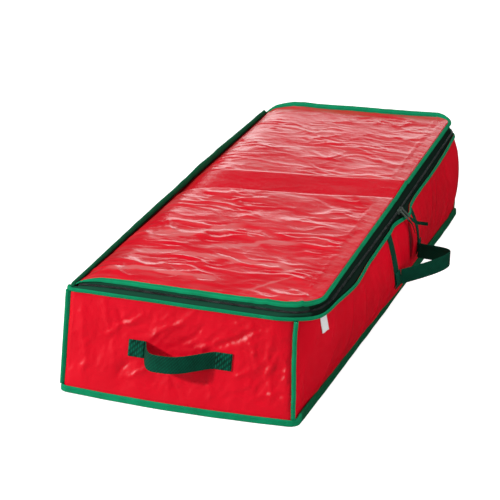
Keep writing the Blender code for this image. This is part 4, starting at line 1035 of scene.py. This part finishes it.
def make_bottom_binding():
    inner = BINDING_GAP
    outer = BINDING_GAP + BOTTOM_THICK
    profile = rounded([(inner, 0.0), (outer, 0.0), (outer, BOTTOM_TALL * 0.5),
                       (inner + BOTTOM_THICK * 0.9, BOTTOM_TALL), (inner, BOTTOM_TALL)])
    index = np.arange(RING_COUNT)
    side = smooth(SEAM_FR, SEAM_FR + ARC, index) * (1 - smooth(SEAM_RR - ARC, SEAM_RR, index))
    sections, out = ring_sections(profile, RING_COUNT, NOISES[22], 1 + 0.5 * side)
    sections[..., 2] = np.maximum(sections[..., 2] * (1 + 0.65 * side[:, None]), 0.0)
    rows = [(sections[:, outer_row(profile, BOTTOM_TALL * 0.70)], out)]
    nodes = "bottom_binding_front bottom_binding_right bottom_binding_rear bottom_binding_left"
    # Painted shade on the bottom tape along the opening side
    paint_side_shade(bound_piece("bottom_tape", sections, nodes, "box", rows, True), "shade_binding", *BOTTOM_SHADE)


def make_rim_binding():
    low = RIM_HEIGHT - RIM_DROP
    high = RIM_HEIGHT + RIM_RISE
    inner = BINDING_GAP
    shoulder = inner + RIM_THICK * 0.8
    profile = rounded([(inner, low), (shoulder, low), (inner + RIM_THICK, (low + high) / 2),
                       (shoulder, high), (inner, high), (inner, RIM_HEIGHT)])
    index = np.arange(OPEN_COUNT)
    away = np.minimum(index, OPEN_COUNT - 1 - index) - SEAM_FL
    grow = 1 + RIM_SWELL / RIM_THICK * np.maximum(0.0, 1 - (away / ARC) ** 2)
    sections, out = ring_sections(profile, OPEN_COUNT, NOISES[23], grow)
    rows = [(sections[:, outer_row(profile, low + 0.0018)], out)]
    bound_piece("rim_tape", sections, "rim_binding", "box", rows)


def make_corner_bindings():
    seams = {"front_left": SEAM_FL, "front_right": SEAM_FR, "rear_right": SEAM_RR, "rear_left": SEAM_RL}
    half = CORNER_THICK / 2
    for k, (name, index) in enumerate(seams.items()):
        narrow, full = CORNER_LEFT if name.endswith("left") else CORNER_RIGHT
        sections = []
        lines = []
        for z in np.linspace(BOTTOM_TALL + GAP, RIM_HEIGHT - RIM_DROP - GAP, 60):
            plan = ring(z)
            normal = closed_normals(plan)[index]
            across = np.array([-normal[1], normal[0]])
            wide = blend(narrow, full, (z / RIM_HEIGHT) ** 0.7)
            wobble = 0.0004 * NOISES[21](z / 0.02, 3.0 + k)
            profile = rounded([(-CORNER_SUNK, -half), (wide * 0.9, -half * 0.9), (wide, 0),
                               (wide * 0.9, half * 0.9), (-CORNER_SUNK, half)])
            foot = plan[index] + normal * BINDING_GAP
            sections.append(lift(foot + profile[:, :1] * normal + (profile[:, 1:] + wobble) * across, z))
            seam = foot + normal * wide * 0.45
            lines.append([(*(seam + across * side * half), z, *(across * side), 0.0) for side in (-1, 1)])
        lines = np.array(lines)
        rows = [(lines[:, side, :3], lines[:, side, 3:]) for side in (0, 1)]
        bound_piece("corner_tape_" + name, np.array(sections), "corner_binding_" + name, "box", rows)


# Zip

def raised(points):
    """How far the lid's edge has risen from its hinge level, from 0 to 1."""
    height = lid_height(points[:, 0], points[:, 1]) - RIM_HEIGHT
    return np.minimum(1.0, height / (HINGE_LID_LIFT + LID_RISE))


def tilted(out, angle):
    """Unit vectors along and off a tape whose outer edge is turned up by an angle."""
    c, s = np.cos(angle)[:, None], np.sin(angle)[:, None]
    return out * c + UP * s, UP * c - out * s


def zip_frames():
    """Places along the zip, with the way up across its tapes and the way off them."""
    points = zip_curve(ZIP_INSET, track_x, TRACK_NEAR_CORNER, TRACK_FAR_CORNER)
    share = raised(LID_CURVE)
    share = np.where(share > 0.95, 1.0, share)
    rising, off = tilted(-lift(open_normals(points), 0.0), ZIP_SLOPE * share)
    return lift(points, RIM_HEIGHT + ZIP_HEIGHT * share), rising, off


def tape_sheet(name, lines, off, node, body):
    """Tape through three lines of points: its edge at the coil, its shoulder and its sewn edge."""
    first, middle, last = lines
    inner = np.array([blend(first, middle, s * 2) if s <= 0.5 else blend(middle, last, s * 2 - 1)
                      for s in np.linspace(0, 1, TAPE_RUNS)])
    along = run_lengths(inner[0])
    across = np.concatenate([[0.0], np.cumsum(np.linalg.norm(np.diff(inner, axis=0), axis=2).mean(axis=1))])
    uvs = np.stack(np.meshgrid(along, across), axis=-1)
    piece = sheet(name, inner + off[None] * TAPE_THICK, inner, uvs)
    finish_piece(piece, "zip_tape", node, body)
    # Painted shade on the zip tape along the opening side
    paint_side_shade(piece, "shade_zip_tape", *ZIP_SHADE)


# One coil tooth: its path (across, off the tape), half width, thickness; the coil's pitch
TOOTH_PATH = ((-0.0004, 0.0017), (0.0002, 0.0026), (0.0010, 0.0027), (0.0017, 0.0021), (0.0019, 0.0012))
TOOTH_HALF = 0.00062
TOOTH_THICK = 0.0009
TOOTH_PITCH = 0.0022


def coil_teeth(side):
    """Rows of small bent teeth, one half of the coil."""
    frames = zip_frames()
    run = run_lengths(frames[0])
    places = np.arange(TOOTH_PITCH, run[-1] - TOOTH_PITCH, TOOTH_PITCH) + max(0, side) * TOOTH_PITCH / 2
    centre, rise, away = (at_places(places, run, values) for values in frames)
    along = np.cross(rise, away) * TOOTH_HALF
    depth = away * TOOTH_THICK
    rings = []
    for u, n in TOOTH_PATH:
        middle = centre + rise * side * u + away * n
        low = middle - depth
        rings.append(np.stack([middle - along, middle + along, low + along, low - along], axis=1))
    verts = np.stack(rings, axis=1).reshape(-1, 3)
    count = len(TOOTH_PATH) * 4
    pattern = grid_faces(len(TOOTH_PATH), 4, wrap=True)
    pattern += [[3, 2, 1, 0], [count - 4, count - 3, count - 2, count - 1]]
    return verts, repeated(pattern, count, len(places))


def make_zip():
    place, rising, off = zip_frames()
    plan = ring(RIM_HEIGHT)
    foot = lift((plan - closed_normals(plan) * 4 * GAP)[:OPEN_COUNT], RIM_HEIGHT + GAP)
    level = lid_top(LID_CURVE[:, 0], LID_CURVE[:, 1]) - PANEL - TAPE_THICK - GAP
    top = lift(LID_CURVE - open_normals(LID_CURVE) * (TAPE_THICK + GAP), level)
    halves = (("box", "body", -1, foot), ("lid", "lid", 1, top))
    for body, half, side, sewn in halves:
        lines = (place + side * rising * TAPE_SPLIT / 2, place + side * rising * TAPE_SHOULDER, sewn)
        tape_sheet("zip_tape_of_" + body, lines, off, half + "_zip_tape", body)
    for body, half, side, _ in halves:
        verts, faces = coil_teeth(side)
        piece = link_mesh("coil_of_" + body, verts, faces, np.zeros((len(verts), 2)))
        finish_piece(piece, "coil", half + "_zip_coil", body)


# Lid

def lid_grid():
    """Plan points over the lid, from its hinge to its zipped edge."""
    corner = ARC + END + ARC // 2
    near = LID_CURVE[:corner + 1]
    far = LID_CURVE[::-1][:corner + 1]
    side = LID_CURVE[corner:len(LID_CURVE) - corner]
    share = np.linspace(0, 1, len(side))[:, None, None]
    base = blend(near[None], far[None], share)
    chord = blend(near[-1], far[-1], share[:, 0])
    weight = ((base[..., 0] - LID_LEFT) / (chord[:, 0] - LID_LEFT)[:, None]) ** 3
    grid = base + (side - chord)[:, None, :] * weight[..., None]
    left = np.stack([np.full(len(side), LID_LEFT), grid[:, 0, 1]], axis=-1)[:, None]
    return np.concatenate([left, grid], axis=1)


def make_lid():
    plan = lid_grid()
    x, y = plan[..., 0], plan[..., 1]
    outer = np.concatenate([plan, lid_top(x, y)[..., None]], axis=-1)
    piece = sheet("lid_sheet", outer, outer - PANEL * UP, plan)
    # Painted sheen on the lid, standing in for its milky reflections
    paint(piece, "painted_sheen", lid_painted_sheen(x, y))
    finish_piece(piece, "lid_tarp", "lid_panel", "lid")


def make_lid_binding():
    shares = np.linspace(0.0, 1.0, 8, endpoint=False)[:, None]
    near = blend(np.array([[LID_LEFT + GAP, LID_CURVE[0, 1]]]), LID_CURVE[:1], shares)
    far = blend(LID_CURVE[-1:], np.array([[LID_LEFT + GAP, LID_CURVE[-1, 1]]]), 1 - shares[::-1])
    points = np.concatenate([near, LID_CURVE, far])
    outs = open_normals(points)
    run = run_lengths(points)
    count = len(points)
    turn = np.clip((np.arange(count) - (count - (2 * ARC + END + 9))) / ARC, 0, 1)
    angle = blend(LID_BINDING_LOW_ANGLE, LID_BINDING_ANGLE, raised(points))
    angle = blend(angle, LID_BINDING_REAR_ANGLE, turn) + 0.10 * NOISES[22](run / 0.05, 4.5)
    out = lift(outs, 0.0)
    along, across = tilted(out, angle)
    root = lift(points, lid_top(points[:, 0], points[:, 1]) - PANEL / 2) + out * 0.0004
    grown = 1 - np.exp(-(points[:, 0] - LID_LEFT) / LID_BINDING_END_RUN)
    wide = blend(LID_BINDING_WIDE, LID_BINDING_SIDE_WIDE, np.maximum(0.0, outs[:, 0]) ** 2)
    wide = (wide * blend(0.3, 1.0, grown) * (1 + 0.05 * NOISES[23](run / 0.04, 1.5)))[:, None]
    half = LID_BINDING_THICK / 2
    profile = rounded([(-0.0006, -half), (0.5, -half * 1.1), (0.93, -half * 0.9), (1.0, 0.0),
                       (0.93, half * 0.9), (0.5, half * 1.25), (-0.0006, half)])
    sections = (root[:, None] + along[:, None] * (profile[None, :, :1] * wide[..., None])
                + across[:, None] * profile[None, :, 1:])
    rows = [(root + along * wide * 0.30 + across * half * 1.15, across)]
    bound_piece("lid_tape", sections, "lid_binding", "lid", rows)


def make_hinge_binding():
    low = RIM_HEIGHT + GAP
    start = RIM_FRONT + 0.4 * HINGE_CORNER_RADIUS
    end = float(rear_y(HINGE_X, 1)) - 0.4 * HINGE_CORNER_RADIUS
    y = np.linspace(start, end, 300)
    profile = rounded([(0, 0), (HINGE_THICK, 0), (HINGE_THICK * 0.98, 0.8), (HINGE_THICK * 0.6, 1.0),
                       (HINGE_THICK * 0.02, 0.85)])
    noise = NOISES[20]
    lean = 0.0009 * noise(y / 0.09, 2.5) + 0.0004 * noise(y / 0.03, 5.5)
    tall = hinge_height(y) * (1 + 0.05 * noise(y / 0.07, 9.5))
    tall = np.minimum(tall, blend(0.0028, 0.02, smooth(0.0055, 0.013, np.minimum(y - start, end - y))))
    x = HINGE_X + profile[:, 0] + lean[:, None] * profile[:, 1]
    sections = np.stack([x, y[:, None] + 0 * x, low + profile[:, 1] * tall[:, None]], axis=-1)
    rows = []
    for side, face in ((-1.0, HINGE_X), (1.0, HINGE_X + HINGE_THICK)):
        points = np.column_stack([face + lean * 0.45, y, low + 0.42 * tall])
        rows.append((points, np.tile([side, 0.0, 0.0], (len(y), 1))))
    # The hinge tape takes the darker copy of the binding: painted shade
    bound_piece("hinge_tape", sections, "hinge_binding", "lid", rows, material="shade_binding")


def make_pockets():
    left = LID_LEFT + POCKET_EDGE
    share = np.linspace(0, 1, 70)
    width = float(lid_side_x(0.0)) - POCKET_SIDE_EDGE - left
    cut = int(np.searchsorted(share, 1.0 - MOUTH_WIDE / width))
    for name, start, end in (("front", float(LID_CURVE[0, 1]) + POCKET_EDGE, POCKET_FRONT_END),
                             ("rear", POCKET_REAR_START, float(LID_CURVE[-1, 1]) - POCKET_EDGE)):
        y = np.linspace(start, end, 90)[:, None]
        x = left + (lid_side_x(y) - POCKET_SIDE_EDGE - left) * share
        y = np.broadcast_to(y, x.shape)
        sag = FILM_SAG[0] + FILM_SAG[1] * np.abs(NOISES[19](x / 0.08, y / 0.11))
        edge = smooth(0, 0.02, x - left) * smooth(0, 0.02, y - start) * smooth(0, 0.02, end - y)
        outer = np.stack([x, y, lid_top(x, y) - PANEL - FILM_GAP - sag * edge], axis=-1)
        inner = outer - FILM_THICK * UP
        uvs = outer[..., :2]
        piece = sheet("pocket_sheet_" + name, outer[:, :cut], inner[:, :cut], uvs[:, :cut])
        finish_piece(piece, "vinyl", "lid_pocket_" + name, "lid")
        tape = inner[:, cut:] - MOUTH_THICK * UP
        piece = sheet("pocket_mouth_" + name, outer[:, cut:], tape, uvs[:, cut:])
        finish_piece(piece, "binding", "lid_pocket_mouth_tape_" + name, "lid")


# Webbing

def strap(name, path, across, face, thick=WEB_THICK, extra=None):
    """Band of webbing: path points, unit vectors across it and off its face."""
    x = np.concatenate([[-0.5], np.linspace(-0.46, 0.46, 11), [0.5]])
    low = np.stack([x * WEB_WIDE, np.where(np.abs(x) < 0.5, -0.5, -0.225) * thick], axis=1)
    profile = np.concatenate([low, low[::-1] * [1, -1]])
    sections = path[:, None] + across[:, None] * profile[None, :, :1] + face[:, None] * profile[None, :, 1:]
    return tube(name, sections, extra=extra)


def end_frame(x, facing):
    """Place, way out and way up of an end wall at the handle's height."""
    wall = front_y if facing < 0 else rear_y
    ends = (HANDLE_HEIGHT - WEB_WIDE / 2, HANDLE_HEIGHT + WEB_WIDE / 2)
    low, high = (np.array([x, float(wall(x, z / RIM_HEIGHT)), z]) for z in ends)
    up = unit(high - low)
    return (low + high) / 2, np.cross(up, [facing, 0.0, 0.0]), up


def bell(share):
    return np.maximum(0.0, 1.0 - np.abs(share) ** 3) ** 1.4


def patch_stitches(centre, right, up, out):
    """Box with a cross, sewn through a patch."""
    inset = WEB_WIDE / 2 - PATCH_INSET
    corners = [centre + right * a * inset + up * b * inset for a, b in ((-1, -1), (1, -1), (1, 1), (-1, 1))]
    lines = [(corners[a], corners[b]) for a, b in ((0, 1), (1, 2), (2, 3), (3, 0), (0, 2), (1, 3))]
    shares = np.linspace(0, 1, 8)[:, None]
    return joined(stitches(blend(first, last, shares), np.tile(out, (8, 1)), 0.0030, 0.0023, 0.0004)
                  for first, last in lines)


def make_end_handle(name, facing):
    half = WEB_WIDE / 2
    for side, sign in (("left", -1), ("right", 1)):
        centre_x = sign * HANDLE_SPACING / 2
        frames = [end_frame(x, facing) for x in np.linspace(centre_x - half, centre_x + half, 8)]
        place, face, across = (np.array(vectors) for vectors in zip(*frames))
        centre, out, up = end_frame(centre_x, facing)
        sewn = patch_stitches(centre + out * (GAP + WEB_THICK), np.cross(out, up), up, out)
        patch = "%s_%s_patch" % (name, side)
        piece = strap(patch, place + face * (GAP + WEB_THICK / 2), across, face, extra=sewn)
        finish_piece(piece, "sewn_webbing", "%s_handle_%s_end" % (name, side), "box")
    reach = HANDLE_SPACING / 2 - half - GAP
    peak = HANDLE_SKEW * facing
    path = []
    ups = []
    for share in LOOP_SHARES:
        place, out, up = end_frame(reach * share, facing)
        full = bell((share - peak) / (1 - peak * share))
        path.append(place + out * (HANDLE_BOW * full + GAP + WEB_THICK / 2) - up * HANDLE_DROOP * full)
        ups.append(up)
    path, ups = np.array(path), np.array(ups)
    face = -facing * unit(np.cross(np.gradient(path, axis=0), ups))
    finish_piece(strap(name + "_loop", path, ups, face), "webbing", name + "_handle_strap", name + "_handle")


def side_point(y, z):
    t = z / RIM_HEIGHT
    return np.array([float(half_width(t) + bulge(y, t)), y, z])


def side_strap(name, y, low, high, start, thick, node, sewn):
    """Upright piece of webbing on the opening side, standing start off it."""
    zs = np.linspace(low, high, 30)
    path = np.array([side_point(y, z) + [start + thick / 2, 0, 0] for z in zs])
    across = unit(np.array([side_point(y + 0.0125, z) - side_point(y - 0.0125, z) for z in zs]))
    step = unit(np.gradient(path, axis=0))
    face = unit(np.cross(across, step))
    k = len(zs) // 2
    extra = patch_stitches(path[k] + face[k] * thick / 2, across[k], step[k], face[k]) if sewn else None
    piece = strap(name, path, across, face, thick, extra)
    finish_piece(piece, "sewn_webbing" if sewn else "webbing", node, "box")


def side_handle_height(y):
    return HANDLE_HEIGHT + SIDE_HANDLE_RISE * ((y - SIDE_HANDLE_Y) / SIDE_SPACING + 0.5)


def make_side_handle():
    top = RIM_HEIGHT - RIM_DROP - GAP
    offset = SIDE_SPACING / 2
    half = WEB_WIDE / 2
    stand = 4 * GAP + SUPPORT_THICK
    for name, y in (("near", SIDE_HANDLE_Y - offset), ("far", SIDE_HANDLE_Y + offset)):
        low = side_handle_height(y) - half
        high = side_handle_height(y) + half
        side_strap("side_upright_" + name, y, low + UPRIGHT_LIFT, top, GAP, SUPPORT_THICK,
                   "side_support_strap_" + name, False)
        side_strap("side_patch_" + name, y, low, high, stand, WEB_THICK, "side_handle_%s_end" % name, True)
    reach = offset - half - GAP
    path = []
    for share in LOOP_SHARES:
        y = SIDE_HANDLE_Y + reach * share
        inner, outer = SIDE_LOOP_NEAR if share < 0 else SIDE_LOOP_FAR
        spread = max(0.0, 1.0 - abs(share) ** inner) ** outer
        out = stand + WEB_THICK / 2 + SIDE_HANDLE_BOW * spread
        path.append(side_point(y, side_handle_height(y)) + [out, 0.0, SIDE_HANDLE_LIFT * spread])
    path = np.array(path)
    ups = np.tile(UP, (len(path), 1))
    face = unit(np.cross(np.gradient(path, axis=0) * [1.0, 1.0, 0.0], ups))
    finish_piece(strap("side_loop", path, ups, face), "webbing", "side_handle_strap", "side_handle")


def make_label():
    """Small bare label, hanging a little away from the side."""
    share = np.linspace(0, 1, 16)[:, None]
    z = RIM_HEIGHT - RIM_DROP - GAP - LABEL_TALL * share
    y = LABEL_Y + 1.2 * LABEL_WIDE * np.linspace(-0.5, 0.5, 8)[None]
    t = z / RIM_HEIGHT
    x = half_width(t) + bulge(y, t) + 0.0009 + 0.003 * share ** 1.3 + 0.0008 * np.sin(y * 300) * share
    outer = np.stack(np.broadcast_arrays(x, y + 0.008 * share, z), axis=-1)
    piece = sheet("bare_label", outer, outer - [LABEL_THICK, 0.0, 0.0], outer[..., 1:])
    finish_piece(piece, "label", "sewn_in_label", "box")


def dress_nodes():
    """Better materials for the CAD nodes that stay."""
    kinds = {"slider": "metal", "puller": "metal", "pull_ribbon": "webbing"}
    for end in ("near_", "far_"):
        for node, material in kinds.items():
            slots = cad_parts[end + node].data.materials
            slots.clear()
            slots.append(MATERIALS[material])


# Stage

WHITE = (1.0, 1.0, 1.0, 1.0)
# The floor's colour, and what glossy rays see of it; the white that the camera sees with it
FLOOR_PALE = (0.62, 0.62, 0.62, 1.0)
FLOOR_DARK = (0.004, 0.004, 0.004, 1.0)
FLOOR_GLOW = 0.88
# Light of the world, and how much less of it glossy rays see
WORLD_LIGHT = 0.34
WORLD_DIMMED = 0.336
# Name, place, target, size and power of each lamp
LAMPS = (("key", (-2.35, -2.1, 1.1), (0, -0.3, 0.1), (0.22, 0.22), 72.0),
         ("top", (0.3, -0.3, 2.8), (0, 0, 0.1), (1.4, 1.4), 30.0),
         ("fill", (2.4, -0.9, 0.9), (0.1, 0, 0.1), (1.5, 1.0), 15.0),
         ("back_panel", (-0.60, 2.7, 0.48), (-0.1, 0.0, 0.15), (1.4, 0.75), 5.4))


def make_camera():
    az, el, roll = CAMERA_AZIMUTH, CAMERA_ELEVATION, CAMERA_ROLL
    forward = Vector((-math.sin(az) * math.cos(el), math.cos(az) * math.cos(el), -math.sin(el)))
    right = Vector((math.cos(az), math.sin(az), 0.0))
    up = right.cross(forward)
    right, up = (right * math.cos(roll) + up * math.sin(roll), up * math.cos(roll) - right * math.sin(roll))
    matrix = Matrix((right, up, -forward)).transposed().to_4x4()
    matrix.translation = Vector(CAMERA_PLACE)
    data = bpy.data.cameras.new("camera")
    data.lens = CAMERA_LENS
    data.sensor_width = 36.0
    data.sensor_fit = "HORIZONTAL"
    data.clip_end = 100.0
    camera = link_object("camera", data)
    camera.matrix_world = matrix
    bpy.context.scene.camera = camera


def area_light(name, place, target, size, power):
    data = bpy.data.lights.new(name, "AREA")
    data.shape = "RECTANGLE"
    data.size, data.size_y = size
    data.energy = power
    lamp = link_object(name, data)
    lamp.location = place
    lamp.rotation_euler = (Vector(target) - Vector(place)).to_track_quat("-Z", "Y").to_euler()
    lamp.visible_camera = False


def seen(tree, rays):
    """1 for what the camera sees itself or through clear film."""
    return maths(tree, "ADD", rays["Is Camera Ray"], rays["Is Transmission Ray"], clamp=True)


def make_floor():
    mesh = bpy.data.meshes.new("floor")
    mesh.from_pydata([(-6, -6, 0), (6, -6, 0), (6, 6, 0), (-6, 6, 0)], [], [(0, 1, 2, 3)])
    floor = link_object("floor", mesh)
    floor.location.z = -0.0005
    tree, shader = new_material("floor", "pale_floor")
    rays = add(tree, "LightPath", {})
    inputs = {"Factor": rays["Is Glossy Ray"], "A": FLOOR_PALE, "B": FLOOR_DARK}
    pale = add(tree, "Mix", inputs, data_type="RGBA")["Result"]
    glow = maths(tree, "MULTIPLY", seen(tree, rays), FLOOR_GLOW)
    feed(tree, shader, {"Base Color": pale, "Roughness": 0.9, "Emission Color": WHITE,
                        "Emission Strength": glow})
    mesh.materials.append(MATERIALS["floor"])


def make_stage():
    make_floor()
    world = bpy.data.worlds.new("studio")
    bpy.context.scene.world = world
    world.use_nodes = True
    tree = world.node_tree
    rays = add(tree, "LightPath", {})
    dimmed = maths(tree, "MULTIPLY_ADD", rays["Is Glossy Ray"], -WORLD_DIMMED, WORLD_LIGHT)
    strength = maths(tree, "MAXIMUM", seen(tree, rays), dimmed)
    feed(tree, tree.nodes["Background"], {"Color": WHITE, "Strength": strength})
    for lamp in LAMPS:
        area_light(*lamp)
    bpy.context.scene.view_settings.view_transform = "Standard"


def main():
    make_materials()
    make_stage()
    make_camera()
    make_base()
    make_walls()
    make_bottom_binding()
    make_rim_binding()
    make_corner_bindings()
    make_zip()
    make_lid()
    make_lid_binding()
    make_hinge_binding()
    make_pockets()
    make_end_handle("front", -1)
    make_end_handle("rear", 1)
    make_side_handle()
    make_label()
    dress_nodes()


main()
